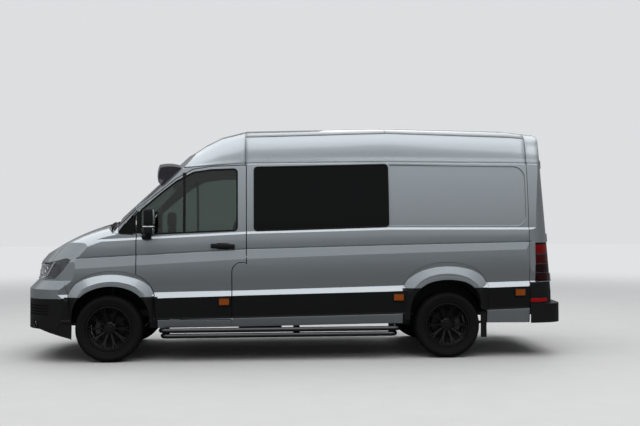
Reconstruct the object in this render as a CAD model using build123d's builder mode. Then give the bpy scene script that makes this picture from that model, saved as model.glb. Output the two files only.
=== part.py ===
from build123d import *
from math import atan2, cos, degrees, radians, sin
import os

# A high-roof panel van fitted out as a camper, left-hand drive, with front-wheel drive.
# Frame: +X forward, +Y to the van's left, +Z up, in millimetres. The origin is on the ground,
# at the middle of the overall length and width.

# Driving dimensions of the whole van
overall_length = 5986.0
wheelbase = 3640.0
front_overhang = 996.0
nose_x = overall_length / 2
tail_x = -nose_x
front_axle_x = nose_x - front_overhang
rear_axle_x = front_axle_x - wheelbase
half_track = 861.0
wide = 3000.0
under = 200.0
side_near = 600.0
side_far = 1100.0

# Feature lines of the body side, left half. Columns: name, half width, bulge of the stretch up to
# the next line, then the height of the line at each station.
station_x = (3000.0, 1340.0, 1160.0, 980.0, 810.0, 540.0, -1010.0, -2400.0, -3000.0)
station_tuck = (30.0, 12.0, 6.0, 3.0, 1.0, 0.0, 0.0, 2.0, 14.0)
side_lines = (
    ("sill low", 966, 0, (350, 360, 362, 363, 364, 366, 383, 376, 372)),
    ("sill crease", 990, 0, (430, 446, 448, 450, 452, 455, 479, 522, 540)),
    ("cladding low", 984, 0, (452, 468, 470, 472, 474, 477, 501, 544, 562)),
    ("cladding top", 1006, 0, (640, 682, 686, 690, 694, 701, 729, 768, 783)),
    ("strip top", 972, 0, (712, 742, 745, 748, 750, 753, 787, 824, 840)),
    ("undercut top", 980, 6, (770, 806, 809, 812, 815, 820, 850, 890, 905)),
    ("bevel low", 998, 0, (963, 1048, 1058, 1067, 1076, 1090, 1138, 1172, 1187)),
    ("groove low", 985, 0, (1066, 1149, 1158, 1167, 1176, 1190, 1225, 1249, 1260)),
    ("groove", 974, 0, (1075, 1157, 1166, 1175, 1184, 1198, 1233, 1257, 1268)),
    ("groove high", 986, 3, (1084, 1165, 1174, 1183, 1192, 1206, 1241, 1265, 1276)),
    ("belt low", 984, 0, (1238, 1319, 1328, 1336, 1345, 1358, 1396, 1392, 1387)),
    ("belt top", 964, 14, (1262, 1343, 1352, 1360, 1369, 1382, 1420, 1414, 1409)),
    ("gutter low", 890, 0, (1950, 2058, 2072, 2084, 2096, 2114, 2131, 2118, 2108)),
    ("gutter", 878, 0, (1958, 2066, 2080, 2093, 2105, 2124, 2141, 2128, 2118)),
    ("gutter high", 886, 0, (1966, 2072, 2087, 2101, 2114, 2134, 2151, 2138, 2128)),
    ("roof band", 875, 3, (1976, 2082, 2102, 2126, 2148, 2179, 2191, 2178, 2166)),
    ("roof crease", 850, 6, (1990, 2096, 2136, 2196, 2248, 2302, 2333, 2290, 2240)),
    ("roof joint", 796, 0, (2006, 2112, 2172, 2268, 2344, 2417, 2463, 2420, 2360)),
    ("roof shoulder", 742, 0, (2018, 2126, 2196, 2310, 2396, 2462, 2502, 2472, 2400)),
)
roof_centre = (2100.0, 2196.0, 2290.0, 2406.0, 2488.0, 2560.0, 2590.0, 2566.0, 2500.0)
roof_bulge = 14.0

# Windscreen: base and top of its middle line, and the radius it is bent to across the van
screen_base = (2140.0, 1402.0)
screen_top = (1340.0, 2136.0)
screen_radius = 2960.0
screen_foot = 108.0

# Bonnet's middle line: its rear end, then the radius of each bend and the slope it starts at, in degrees
bonnet_start = (1925.0, 1515.0)
bonnet_bends = ((1950.0, 10.0), (2940.0, 30.0), (0.0, 38.0))

# Front end seen from above: nose, shoulder and corner points of its arcs, left half
plan_front = ((nose_x, 0), (2976, 270), (2930, 520), (2810, 770), (2620, 915), (2480, 968), (2330, 1030))
# Rear end seen from above, left half
plan_rear = ((-2905, 0), (-2888.6, 420), (-2845, 800), (-2775, 905), (-2640, 975), (-2560, 992), (-2480, 1030))
rear_lean = 4.6
# Front end seen from the side: heights and how far each lies behind the nose
nose_profile = ((200.0, 0.0), (775.0, 0.0), (870.0, 95.0), (1066.0, 131.0), (1560.0, 546.0))
rear_lean_z = 700.0

# Shell and gaps
wall = 74.0
roof_wall = 60.0
door_gap = 9.0
panel_gap = 6.0
seam_depth = 12.0
lip_width = 12.0
lip_thick = 10.0
glass = 6.0

# Wheels
tyre_radius = 355.0
tyre_width = 235.0
rim_radius = 240.0
king_y = 700.0

# Doors and windows
door_front_x = 1704.0
b_seam_x = 541.0
d_seam_x = -2556.0
notch_x = 697.0
door_outline = ((1704, 1640), (1704, 926), (1580, 843, 1), (1510, 704), (1500, 452), (notch_x, 446),
                (notch_x, 952), (660, 1030, 1), (b_seam_x, 1046), (b_seam_x, 2098), (905, 2084), (1110, 2052),
                (1290, 1950), (1460, 1812))
door_glass_outline = ((1660, 1610), (1450, 1790), (1280, 1925), (1100, 2020), (905, 2048), (640, 2056), (640, 1400),
                      (1660, 1362))
divider_x = 1200.0
divider_half = 14.0
handle_outline = ((912, 1250), (664, 1242), (664, 1204), (912, 1212))
cup_outline = ((860, 1262), (716, 1256), (716, 1190), (860, 1196))
handle_y = 1010.0
handle_deep = 22.0
quarter_outline = ((1713, 1620), (1713, 1362), (1900, 1372))
side_glass_outline = ((448, 2076), (-1000, 2106), (-1000, 1434), (448, 1394))
recess_outline = ((-1022, 2104), (-2420, 2088), (-2492, 2050, 1), (-2528, 1980), (-2528, 1530), (-2512, 1496, 1),
                  (-2440, 1436), (-1022, 1438))
recess_depth = 12.0
window_round = 34.0

# Rear opening
rear_door_half = 792.0
rear_door_low = 604.0
rear_door_high = 2330.0
rear_lip_low = 720.0
rear_wall = 62.0

# Sliding door on the right side, given as if on the left
slide_outline = ((532, 440), (532, 2098), (-712, 2116), (-712, 440))
slide_glass_outline = ((440, 2070), (-620, 2088), (-620, 1424), (440, 1396))

# Rear lamps, bumper and step
lamp_outline = ((-2622, 1246), (-2950, 1246), (-2950, 822), (-2622, 822))
lamp_inner_y = 812.0
bumper_high = 814.0
bumper_low = 372.0
horn_inner_y = 815.0
step_high = 578.0
rear_centre_gap = 10.0
hinge_heights = (860.0, 1300.0, 2120.0)
hinge_half = 45.0
hinge_radius = 9.0
hinge_x = -2848.0
hinge_y = 796.0
plate_y = (110.0, 650.0)
plate_z = (900.0, 1035.0)
plate_deep = 8.0
pull_y = (40.0, 250.0)
pull_z = (1120.0, 1168.0)
pull_high = 26.0
rear_glass_y = (90.0, 700.0)
rear_glass_z = (1420.0, 2060.0)
plan_step = ((tail_x, 0), (-2978.6, 395), (-2935, 790), (-2880, 900), (-2760, 970), (-2660, 992), (-2500, 1000))

# Windscreen opening, across and up the screen from its base
screen_outline = ((-848, 150), (848, 150), (716, 985), (-716, 985))

# Front panels
bonnet_rear_x = 2096.0
bonnet_front_z = 1052.0
bonnet_half = 812.0
grille_half = 520.0
fender_outline = ((1713, 1350), (1925, 1360), (1990, 1430), (1990, 1800), (2600, 1800), (3000, 1052), (3000, 700),
                  (1990, 700), (1519, 700), (1586, 838, 1), (1713, 922))
bumper_outline = ((2388, 230), (2388, 430), (2428, 714), (2474, 866), (3000, 866), (3000, 230))
bumper_low_outline = ((2380, 200), (2380, 420), (2424, 678), (3000, 668), (3000, 200))
intake_half = 420.0
intake_z = (430.0, 610.0)
intake_slats = (475.0, 520.0, 565.0)
vent_x = 2640.0
vent_inner_y = 600.0
vent_slats = (510.0, 540.0, 570.0, 600.0)
slat_gap = 14.0
fog_y = 770.0
fog_z = 400.0
fog_radius = 42.0
headlamp_outline = ((2396, 1092), (2499, 957), (2575, 889), (2760, 874), (3000, 874), (3000, 1046), (2700, 1050),
                    (2445, 1106))
grille_slots = (902.0, 942.0, 982.0, 1018.0)
grille_outline = ((2560, 874), (3000, 874), (3000, 1046), (2560, 1046))
stop_place = (2800.0, 300.0)
stop_radius = 10.0

# Wheel openings: outline points off the axle, left to right
front_arch = ((-436, 200), (-430, 430), (-378, 640, 1), (-250, 757), (-34, 808, 1), (180, 768), (330, 655, 1),
              (386, 440), (392, 200))
rear_arch = ((-432, 200), (-432, 503), (-356, 540), (-310, 735, 1), (-190, 824), (0, 850, 1), (190, 822),
             (352, 700, 1), (415, 500), (425, 200))
front_flare = ((-478, 700), (-412, 830), (-290, 912), (-34, 957), (222, 912), (350, 828), (430, 700))
rear_flare = ((-440, 770), (-370, 900), (-250, 985), (5, 1030), (262, 985), (400, 895), (488, 760))
flare_low = 420.0
flare_root = 14.0
flare_shade = (12.0, 6.0)
flare_bevel = 0.815
flare_groove = (41.0, 46.0)
groove_deep = 6.0
front_flare_y = (960.0, 1006.0)
rear_flare_y = (974.0, 1014.0)
front_flare_mid = -24.0
rear_flare_mid = 20.0
front_arch_y = 500.0
liner_radius = 470.0
liner_inner_y = 540.0
liner_edge_y = 945.0
liner_thick = 8.0
liner_low = 380.0
liner_wall_low = 520.0
well_radius = 430.0
well_rise = 40.0
well_clear = 9.0
floor_top = 560.0
floor_low = 470.0
floor_rear_x = -2770.0
floor_front_x = 1960.0
floor_side_y = 1000.0
floor_well_y = 523.0
rail_front_x = 1500.0
bulkhead_front_x = 1974.0
bulkhead_half = 520.0
liner_outer_y = 872.0
fit_gap = 0.3
board_rear_x = -2640.0
board_front_x = 430.0
board_half = 670.0
board_thick = 12.0
skirt_outline = ((2380, 240), (2380, 408), (2388, 412), (2388, 430), (2395, 480), (3000, 480), (3000, 381),
                 (2822, 368), (2478, 276), (2403, 253))
skirt_back = (14.0, 54.0)
skirt_y = 956.0
skirt_inner_y = 916.0
well_inner_y = 690.0
rail_y = 430.0
rail_half = 35.0
rail_deep = 60.0
cross_deep = 50.0
front_rail_deep = 30.0
front_rail_x = 2820.0

# Suspension and wheel mounting
arm_low = 216.0
arm_thick = 30.0
pin_radius = 12.0
rod_radius = 14.0
bearing_gap = 0.3
sleeve_low = 252.0
sleeve_high = 560.0
sleeve_radius = 30.0
strut_top = 824.6
spring_low = 700.0
carrier_y = 775.0
spindle_radius = 22.0
spindle_end_y = 860.0
spring_y = 545.0
disc_inner = 22.0
disc_outer = 50.0
seat_half = 88.0
rim_section = ((-98, 1), (-98, 16), (-84, 22), (60, 40), (84, 20), (102, 14), (102, 1), (92, 1), (88, 12),
               (-88, 12), (-88, 1))
brake_inner = -70.0
brake_radius = 150.0
brake_thick = 24.0
spoke_count = 10
spoke_width = 17.0
fork_radius = 138.0
fork_angle = 12.0
hub_radius = 62.0
cap_radius = 34.0
cap_high = 9.0

# Trim
tube_rows = ((333.0, 1500.0, -1160.0), (276.0, 1480.0, -1120.0))
tube_radius = 25.0
tube_y = 1000.0
tube_bend = 70.0
tube_inner_y = 880.0
flap_x = -2036.0
marker_x = (775.0, -1103.0, -2440.0)
marker_rise = 128.0
marker_half = 52.0
marker_high = 66.0
marker_proud = 12.0
visor_outer = ((1118, 0), (1047, 90, 1), (955, 156), (895, 121, 1), (830, 50))
visor_inner = ((836, 47), (900, 115, 1), (954, 147), (1040, 85, 1), (1108, 0))
visor_turn = 31.0
cheek_turn = 0.25
wheel_y = 430.0
wheel_ring = 200.0
wheel_hole = 172.0
column_tilt = 40.0
column_long = 330.0
column_foot = (1430.0, 1180.0)
bulkhead_top = 1180.0
dash_half = 780.0
dash_outline = ((1968, bulkhead_top + 0.3), (1968, 1330), (1800, 1330), (1640, 1290), (1560, 1220), (1560, 1090),
                (1660, 980), (1660, 900), (1840, 900), (1840, bulkhead_top + 0.3))
seat_width = 500.0
seat_outline = ((1240, 860), (1240, 1010), (1180, 1026), (790, 1000), (650, 1560), (560, 1560), (690, 900),
                (760, 860))
plinth_x = (760.0, 1180.0)
headrest_outline = ((656, 1550), (656, 1760), (570, 1770), (560, 1550))
headrest_half = 130.0
mirror_place = (1556.0, 1492.0)
mirror_size = (118.0, 286.0)
mirror_round = 40.0
mirror_y = (1030.0, 1208.0)
mirror_arm = (1592.0, 1326.0)
mirror_arm_size = (56.0, 60.0)
mirror_arm_y = (940.0, 1060.0)
tank_box = (150.0, 640.0, 60.0, 380.0, 262.0)
engine_x = (2240.0, 2640.0)
engine_half = 350.0


def block(x_low, x_high, y_low, y_high, z_low, z_high):
    """A plain box between three pairs of limits."""
    with BuildPart() as box:
        with BuildSketch(Plane.XY.offset(z_low)):
            with Locations(((x_low + x_high) / 2, (y_low + y_high) / 2)):
                Rectangle(x_high - x_low, y_high - y_low)
        extrude(amount=z_high - z_low)
    return box.part


def half_envelope(inset, roof_inset):
    """The left half of the body's outer shape, drawn in by one distance at the sides and another at the roof."""
    with BuildPart() as half:
        for station, (x, tuck) in enumerate(zip(station_x, station_tuck)):
            with BuildSketch(Plane.YZ.offset(x)):
                with BuildLine():
                    low = side_lines[0]
                    away = tuck + inset
                    Line((0, low[3][station]), (low[1] - away, low[3][station]))
                    for line, following in zip(side_lines, side_lines[1:]):
                        start = Vector(line[1] - away, line[3][station])
                        end = Vector(following[1] - away, following[3][station])
                        if following is side_lines[-1]:
                            start = Vector(line[1] - away, line[3][station] - roof_inset / 2)
                            end = Vector(following[1] - away, following[3][station] - roof_inset)
                        if following is side_lines[-2]:
                            end = Vector(following[1] - away, following[3][station] - roof_inset / 2)
                        if line[2]:
                            out = Vector(end.Y - start.Y, start.X - end.X).normalized() * line[2]
                            ThreePointArc(start, (start + end) / 2 + out, end)
                        else:
                            Line(start, end)
                    last = side_lines[-1]
                    shoulder = Vector(last[1] - away, last[3][station] - roof_inset)
                    crown = Vector(0, roof_centre[station] - roof_inset)
                    rise = (shoulder + crown) / 2 + Vector(0, roof_bulge)
                    ThreePointArc(shoulder, rise, crown)
                    Line(crown, (0, low[3][station]))
                make_face()
        loft(ruled=True)
    return half.part


def screen_cut(inset):
    """Everything outside the windscreen's bent surface above its foot, drawn in by a distance."""
    along = Vector(screen_top[0] - screen_base[0], 0, screen_top[1] - screen_base[1]).normalized()
    outward = Vector(along.Z, 0, -along.X)
    foot = Vector(screen_base[0], 0, screen_base[1]) + along * screen_foot - outward * inset
    drop = screen_radius - (screen_radius ** 2 - 1200.0 ** 2) ** 0.5
    with BuildPart() as cut:
        with BuildSketch(Plane(origin=foot, x_dir=(0, 1, 0), z_dir=along)):
            with BuildLine():
                ThreePointArc((-1200, drop), (0, 0), (1200, drop))
                Polyline((1200, drop), (1200, -1600), (-1200, -1600), (-1200, drop))
            make_face()
        extrude(amount=1500)
    return cut.part


def bonnet_cut(inset):
    """Everything above the bonnet's crowned surface, drawn in by a distance, swept down to the grille."""
    corners = []
    x, z = bonnet_start
    z -= inset
    for (radius, low), (_, high) in zip(bonnet_bends, bonnet_bends[1:]):
        corners.append((x, z))
        half = radians((low + high) / 2)
        mid = (x + radius * (sin(half) - sin(radians(low))), z - radius * (cos(radians(low)) - cos(half)))
        corners.append(mid)
        x += radius * (sin(radians(high)) - sin(radians(low)))
        z -= radius * (cos(radians(low)) - cos(radians(high)))
    corners.append((x, z))
    with BuildPart() as cut:
        with BuildLine(Plane.XZ) as path:
            for first in range(0, len(corners) - 1, 2):
                ThreePointArc(*corners[first:first + 3])
        with BuildSketch(Plane(origin=path.line @ 0, x_dir=(0, 1, 0), z_dir=path.line % 0)):
            with BuildLine():
                ThreePointArc((-800, -62), (0, 0), (800, -62))
                ThreePointArc((800, -62), (905, -112), (968, -205))
                Polyline((968, -205), (1010, -280), (1300, -280), (1300, 400), (-1300, 400), (-1300, -280),
                         (-1010, -280), (-968, -205))
                ThreePointArc((-968, -205), (-905, -112), (-800, -62))
            make_face()
        sweep(path=path.line)
    return cut.part


def row(name, x, drop=0.0):
    """The height of a feature line at a place along the van, lowered by a distance."""
    heights = [line[3] for line in side_lines if line[0] == name][0]
    for (x_fore, z_fore), (x_aft, z_aft) in zip(zip(station_x, heights), zip(station_x[1:], heights[1:])):
        if x_aft <= x <= x_fore:
            return z_fore + (z_aft - z_fore) * (x_fore - x) / (x_fore - x_aft) - drop
    return heights[-1] - drop


def plan_prism(points, z_low, z_high, lean=0.0, back=0.0, closing_x=0.0):
    """An upright solid bounded by arcs seen from above and closed at a place along the van, left half."""
    with BuildPart() as prism:
        with BuildSketch(Plane.XY.offset(z_low)):
            with BuildLine():
                moved = [(x - back, y) for x, y in points]
                for first in range(0, len(moved) - 1, 2):
                    ThreePointArc(*moved[first:first + 3])
                Polyline(moved[-1], (closing_x, moved[-1][1]), (closing_x, 0), moved[0])
            make_face()
        extrude(amount=(z_high - z_low) / cos(radians(lean)), dir=(sin(radians(lean)), 0, cos(radians(lean))))
    return prism.part


def nose(depth):
    """Everything behind the front end's skin by more than a depth, left half, up to the bonnet's height."""
    behind = None
    for (z_low, back_low), (z_high, back_high) in zip(nose_profile, nose_profile[1:]):
        lean = degrees(atan2(back_low - back_high, z_high - z_low))
        band = plan_prism(plan_front, z_low, z_high, lean=lean, back=back_low + depth)
        behind = band if behind is None else behind + band
    return behind


def rear_slab(outer, inner):
    """The part of the leaning rear wall between two depths under its skin, left half."""
    return plan_prism([(x + outer, y) for x, y in plan_rear], rear_lean_z, wide, lean=rear_lean) - plan_prism(
        [(x + inner, y) for x, y in plan_rear], rear_lean_z, wide, lean=rear_lean)


def hinge_barrels(radius, low, high):
    """A cylinder on the left rear door's hinge line at each hinge, between two distances from its middle."""
    with BuildPart() as barrels:
        for height in hinge_heights:
            lean = Vector(sin(radians(rear_lean)), 0, cos(radians(rear_lean)))
            middle = Vector(hinge_x, hinge_y, rear_lean_z) + lean * (height - rear_lean_z)
            with BuildSketch(Plane(origin=middle + lean * low, x_dir=(0, 1, 0), z_dir=lean)):
                Circle(radius)
            extrude(amount=high - low)
    return barrels.part


def draw_ring(points):
    """A closed line through some points. A point with a third value is the middle of an arc."""
    ring = list(points) + [points[0]]
    place = 0
    while place < len(ring) - 1:
        if len(ring[place + 1]) == 3:
            ThreePointArc(ring[place][:2], ring[place + 1][:2], ring[place + 2][:2])
            place += 2
        else:
            Line(ring[place][:2], ring[place + 1][:2])
            place += 1


def outline_solid(points, y_near, y_far, grow=0.0, round_off=0.0):
    """A straight solid on an X and Z outline, grown all round by a distance."""
    with BuildPart() as solid:
        with BuildSketch(Plane.XZ.offset(-y_near)):
            with BuildLine():
                draw_ring(points)
            face = make_face()
            if round_off:
                fillet(face.vertices(), round_off)
            if grow:
                offset(amount=grow, kind=Kind.INTERSECTION)
        extrude(amount=-(y_far - y_near))
    return solid.part


def relief(points, y_near=0.0, y_far=side_far):
    """Room beside a neighbouring panel's outline: a seam in the skin and a close fit behind it."""
    groove = outline_solid(points, y_near, y_far, grow=panel_gap) - core
    return groove + outline_solid(points, y_near - fit_gap, y_far, grow=fit_gap)


def seal_lip(points, y_near):
    """A lip round a door opening that the closed door's inner face rests on."""
    ring = outline_solid(points, y_near, side_far, grow=door_gap + lip_width)
    ring -= outline_solid(points, 0, side_far, grow=-lip_width)
    lip = (half_envelope(wall + fit_gap, roof_wall) - half_envelope(wall + lip_thick, roof_wall)) & ring
    root = (half_envelope(wall - 8, roof_wall) - half_envelope(wall + lip_thick, roof_wall)) & ring
    return lip + (root - outline_solid(points, 0, side_far, grow=door_gap))


def flare_outline(points, axle_x):
    """The outer edge of the band round a wheel opening, closed under it."""
    ring = [(axle_x + x, z, 1) if place % 2 else (axle_x + x, z) for place, (x, z) in enumerate(points)]
    return ring + [(ring[-1][0] - 8, flare_low), (ring[0][0] + 8, flare_low)]


def flare_shadow(points, axle_x):
    """A shallow channel in the skin round the outer edge of a wheel opening's band."""
    return outline_solid(flare_outline(points, axle_x), side_near, side_far, grow=flare_shade[0]) - half_envelope(
        flare_shade[1], flare_shade[1])


def flare_solid(points, axle_x, middle, edge_y, crest_y, arch_points):
    """A raised band round a wheel opening: a wide bevel, then a fine groove beside the opening."""
    ring = flare_outline(points, axle_x)
    centre = axle_x + middle
    drawn = [(centre + (p[0] - centre) * flare_bevel, flare_low + (p[1] - flare_low) * flare_bevel, *p[2:])
             for p in ring]
    with BuildPart() as bevel:
        for outline, y in ((ring, edge_y), (drawn, crest_y)):
            with BuildSketch(Plane.XZ.offset(-y)):
                with BuildLine():
                    draw_ring(outline)
                make_face()
        loft(ruled=True)
    opening = [(axle_x + p[0], *p[1:]) for p in arch_points]
    groove = outline_solid(opening, crest_y - groove_deep, side_far, grow=flare_groove[1])
    groove -= outline_solid(opening, crest_y - groove_deep, side_far, grow=flare_groove[0])
    root = outline_solid(ring, edge_y - flare_root, edge_y)
    return root + bevel.part - groove - outline_solid(opening, front_arch_y, side_far)


def screen_prism(outline, outer, inner):
    """A solid on an outline given across and up the windscreen, between two depths under its middle."""
    along = Vector(screen_top[0] - screen_base[0], 0, screen_top[1] - screen_base[1]).normalized()
    outward = Vector(along.Z, 0, -along.X)
    base = Vector(screen_base[0], 0, screen_base[1]) - outward * inner
    with BuildPart() as solid:
        with BuildSketch(Plane(origin=base, x_dir=(0, 1, 0), z_dir=outward)):
            with BuildLine():
                Polyline(*outline, close=True)
            make_face()
        extrude(amount=inner - outer)
    return solid.part


def full(half):
    """A half with its mirror image, as one solid where they meet."""
    return half + mirror(half, about=Plane.XZ)


def write(part, name):
    """Label a finished piece and write it out."""
    part.label = name
    export_step(part, "parts/" + name + ".step")


os.makedirs("parts", exist_ok=True)

# Outer shape of the body, left half
rear_low = plan_prism(plan_rear, under, rear_lean_z, closing_x=wide)
rear_high = plan_prism(plan_rear, rear_lean_z, wide, lean=rear_lean, closing_x=wide)
rear_keep = rear_low + rear_high
front_keep = nose(0) + block(0, wide, 0, side_far, nose_profile[-1][0], wide)
front_keep += block(-wide - under, 0, 0, side_far, under, wide)
arch_front = outline_solid([(front_axle_x + p[0], *p[1:]) for p in front_arch], front_arch_y, side_far)
arch_rear = outline_solid([(rear_axle_x + p[0], *p[1:]) for p in rear_arch], side_near, side_far)
with BuildPart() as liner_front_cut:
    with BuildSketch(Plane.XZ.offset(-liner_inner_y)):
        with Locations((front_axle_x, tyre_radius)):
            Circle(liner_radius)
    extrude(amount=-(liner_edge_y - liner_inner_y))
with BuildPart() as liner_rear_cut:
    with BuildSketch(Plane.XZ.offset(-well_inner_y)):
        with Locations((rear_axle_x, tyre_radius + well_rise)):
            Circle(well_radius)
    extrude(amount=-(liner_edge_y - well_inner_y))
wells = liner_front_cut.part + liner_rear_cut.part + arch_front + arch_rear
solid_half = half_envelope(0, 0) - screen_cut(0) - bonnet_cut(0) - block(1990, 3200, 0, side_far, 1515, wide)
solid_half = (solid_half & rear_keep & front_keep) - wells
inner_half = half_envelope(wall, roof_wall) - screen_cut(wall)
cabin = inner_half & block(-wide, 1980, 0, side_far, floor_low, wide)
cabin_rear = plan_prism([(x + rear_wall, y) for x, y in plan_rear], rear_lean_z, wide, lean=rear_lean, closing_x=wide)
cabin_low = plan_prism([(x + rear_wall, y) for x, y in plan_rear], under, rear_lean_z, closing_x=wide)
cabin = cabin & (cabin_rear + cabin_low)
bay = half_envelope(wall, roof_wall) - bonnet_cut(34) - block(1990, 3200, 0, side_far, 1460, wide)
bay = bay & block(1980, wide, 0, side_far, under, wide)
bay = bay & nose(wall)
shell = solid_half - cabin - bay - block(-wide, bumper_low_outline[0][0], 0, 900, under, floor_low)

core = half_envelope(seam_depth, seam_depth)

# Openings through the side
door_solid = outline_solid(door_outline, side_near, side_far)
door_opening = outline_solid(door_outline, side_near, side_far, grow=door_gap)
glass_front = outline_solid(door_glass_outline, side_near, side_far, round_off=window_round)
glass_side = outline_solid(side_glass_outline, side_near, side_far, round_off=window_round)
skin_four = half_envelope(4, 4)
skin_ten = half_envelope(4 + glass, 4 + glass)
glazing = skin_four - skin_ten

# Side panel with its recess and window opening
joint_line = [(x, row("roof joint", x)) for x in (b_seam_x, -1010, -2400, d_seam_x)]
side_outline = [(d_seam_x, 200), (notch_x, 200), (notch_x, side_far), (b_seam_x, side_far)] + joint_line
roof_outline = [(d_seam_x, wide)] + joint_line[::-1] + [(b_seam_x, wide)]
rear_outline = [(-wide - 200, 100), (d_seam_x, 100), (d_seam_x, wide), (-wide - 200, wide)]
side_half = (shell & outline_solid(side_outline, 0, side_far)) - door_opening - flare_shadow(rear_flare, rear_axle_x)
side_half = side_half - relief(roof_outline) - relief(rear_outline)
recess = outline_solid(recess_outline, side_near, side_far) - half_envelope(recess_depth, 0)
side_half += flare_solid(rear_flare, rear_axle_x, rear_flare_mid, *rear_flare_y, rear_arch)
side_left = side_half - glass_side - recess
write(side_left, "side_panel_left")
slide_solid = outline_solid(slide_outline, 0, side_far)
side_right = side_half - relief(slide_outline) - recess
write(mirror(side_right, about=Plane.XZ), "side_panel_right")
slide_glass = outline_solid(slide_glass_outline, side_near, side_far, round_off=window_round)
write(mirror((side_half & slide_solid) - slide_glass, about=Plane.XZ), "sliding_door")

# Roof
write(full((shell & outline_solid(roof_outline, 0, side_far)) - relief(rear_outline)), "roof")

# Rear frame, doors, lamps and bumper
rear_zone = block(-wide - 100, d_seam_x, 0, side_far, bumper_high + fit_gap, wide)
rear_opening = block(-wide - 100, -2500, 0, rear_door_half + door_gap, under, rear_door_high + door_gap)
lamp_zone = outline_solid(lamp_outline, lamp_inner_y, side_far)
rear_frame_half = (shell & rear_zone) - rear_opening
rear_lip = rear_slab(rear_wall + fit_gap, rear_wall + lip_thick)
frame_zone = block(-wide, d_seam_x, 0, rear_door_half + 30, rear_lip_low, rear_door_high + 30)
rear_lip = rear_lip & cabin & frame_zone
rear_lip -= block(-wide, d_seam_x, -10, rear_door_half - lip_width, 0, rear_door_high - lip_width)
rear_root = plan_prism([(x + rear_wall - 8, y) for x, y in plan_rear], rear_lean_z, wide, lean=rear_lean)
rear_root = rear_root & shell & frame_zone
rear_root -= block(-wide, d_seam_x, -10, rear_door_half + door_gap, 0, rear_door_high + door_gap)
rear_frame_half = rear_frame_half + rear_lip + rear_root - relief(lamp_outline, lamp_inner_y)
rear_frame_half -= block(-wide, d_seam_x, horn_inner_y - fit_gap, side_far, under, bumper_high + fit_gap)
rear_frame_half -= hinge_barrels(hinge_radius + bearing_gap, -fit_gap, hinge_half + fit_gap)
rear_frame_half += hinge_barrels(hinge_radius, -hinge_half, -fit_gap)
write(full(rear_frame_half), "rear_frame")
tail_lamp = (shell & lamp_zone) & rear_zone
write(tail_lamp + mirror(tail_lamp, about=Plane.XZ), "tail_lamps")
rear_door = shell & block(-wide - 100, -2600, rear_centre_gap / 2, rear_door_half, rear_door_low, rear_door_high)
rear_door = rear_door - cabin_rear - cabin_low
rear_glass_zone = block(-wide - 100, -2500, *rear_glass_y, *rear_glass_z)
rear_door -= rear_glass_zone
rear_door -= hinge_barrels(hinge_radius + bearing_gap, -hinge_half - fit_gap, fit_gap)
rear_door += hinge_barrels(hinge_radius, fit_gap, hinge_half)
plate_zone = rear_slab(0, plate_deep) & block(-wide, -2600, *plate_y, *plate_z)
pull = rear_slab(-pull_high, 10) & block(-wide - 100, -2600, *pull_y, *pull_z)
write(rear_door - plate_zone, "rear_door_left")
write(mirror(rear_door + pull, about=Plane.XZ), "rear_door_right")
rear_pane = rear_slab(4, 4 + glass) & rear_glass_zone
write(rear_pane, "rear_window_left")
write(mirror(rear_pane, about=Plane.XZ), "rear_window_right")
step_part = plan_prism(plan_step, bumper_low, step_high) - block(floor_rear_x - fit_gap, 0, 0, 915, under, wide)
step_part -= plan_prism([(x + 90, y) for x, y in plan_step], bumper_low, step_high - 20)
horn = solid_half & block(-wide - 100, d_seam_x, horn_inner_y, side_far, step_high - 10, bumper_high)
horn -= cabin
step_part = (step_part & block(-wide - 100, d_seam_x, 0, side_far, under, wide)) + horn
write(full(step_part), "rear_bumper")

# Cab frame with its pillars, header and sills
cab_zone = block(b_seam_x, 1990, 0, side_far, under, wide)
cab_half = (shell & cab_zone) - door_opening
cab_lip = seal_lip(door_outline, 600) & block(notch_x - 200, 1990, 0, side_far, floor_top + fit_gap, wide)
cab_lip -= block(b_seam_x - 60, notch_x + lip_width + 1, 0, side_far, under, 1101)
cab_half = (cab_half + cab_lip) - relief(side_outline) - relief(roof_outline)
fender_solid = outline_solid(fender_outline, grille_half + 10, side_far)
fender_opening = relief(fender_outline, grille_half)
screen_opening = screen_prism(screen_outline, -60, 160)
cab_half = cab_half - fender_opening - screen_opening
cab_half -= outline_solid(flare_outline(front_flare, front_axle_x), front_flare_y[0] - flare_root - fit_gap, side_far,
                          grow=fit_gap)
cab_half -= outline_solid(quarter_outline, side_near, side_far)
write(full(cab_half), "cab_frame")
write(full((screen_cut(4 + glass) & solid_half & screen_opening) - screen_cut(4)), "windscreen")
pane = (glazing & outline_solid(quarter_outline, side_near, side_far)) - screen_cut(12)
fixed_panes = pane + mirror(pane, about=Plane.XZ) + (glazing & glass_side)
write(fixed_panes + mirror(glazing & slide_glass, about=Plane.XZ), "side_windows")

# Front doors and their windows
door = (shell & door_solid) - glass_front - half_envelope(wall, wall) - screen_cut(6)
handle = outline_solid(handle_outline, 940, handle_y, round_off=14) - half_envelope(0, 0)
handle_cup = outline_solid(cup_outline, 900, side_far, round_off=20) - half_envelope(handle_deep, 0)
door = door - (handle_cup - handle)
door += handle
bar = block(divider_x - divider_half, divider_x + divider_half, side_near, side_far, 1340, 2060)
bar &= half_envelope(2, 2) - half_envelope(26, 26)
door += bar & door_solid
write(door, "front_door_left")
write(mirror(door, about=Plane.XZ), "front_door_right")
door_pane = glazing & glass_front
door_pane -= block(divider_x - divider_half - fit_gap, divider_x + divider_half + fit_gap, side_near, side_far, 0,
                   wide)
write(door_pane, "door_window_left")
write(mirror(door_pane, about=Plane.XZ), "door_window_right")

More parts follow.
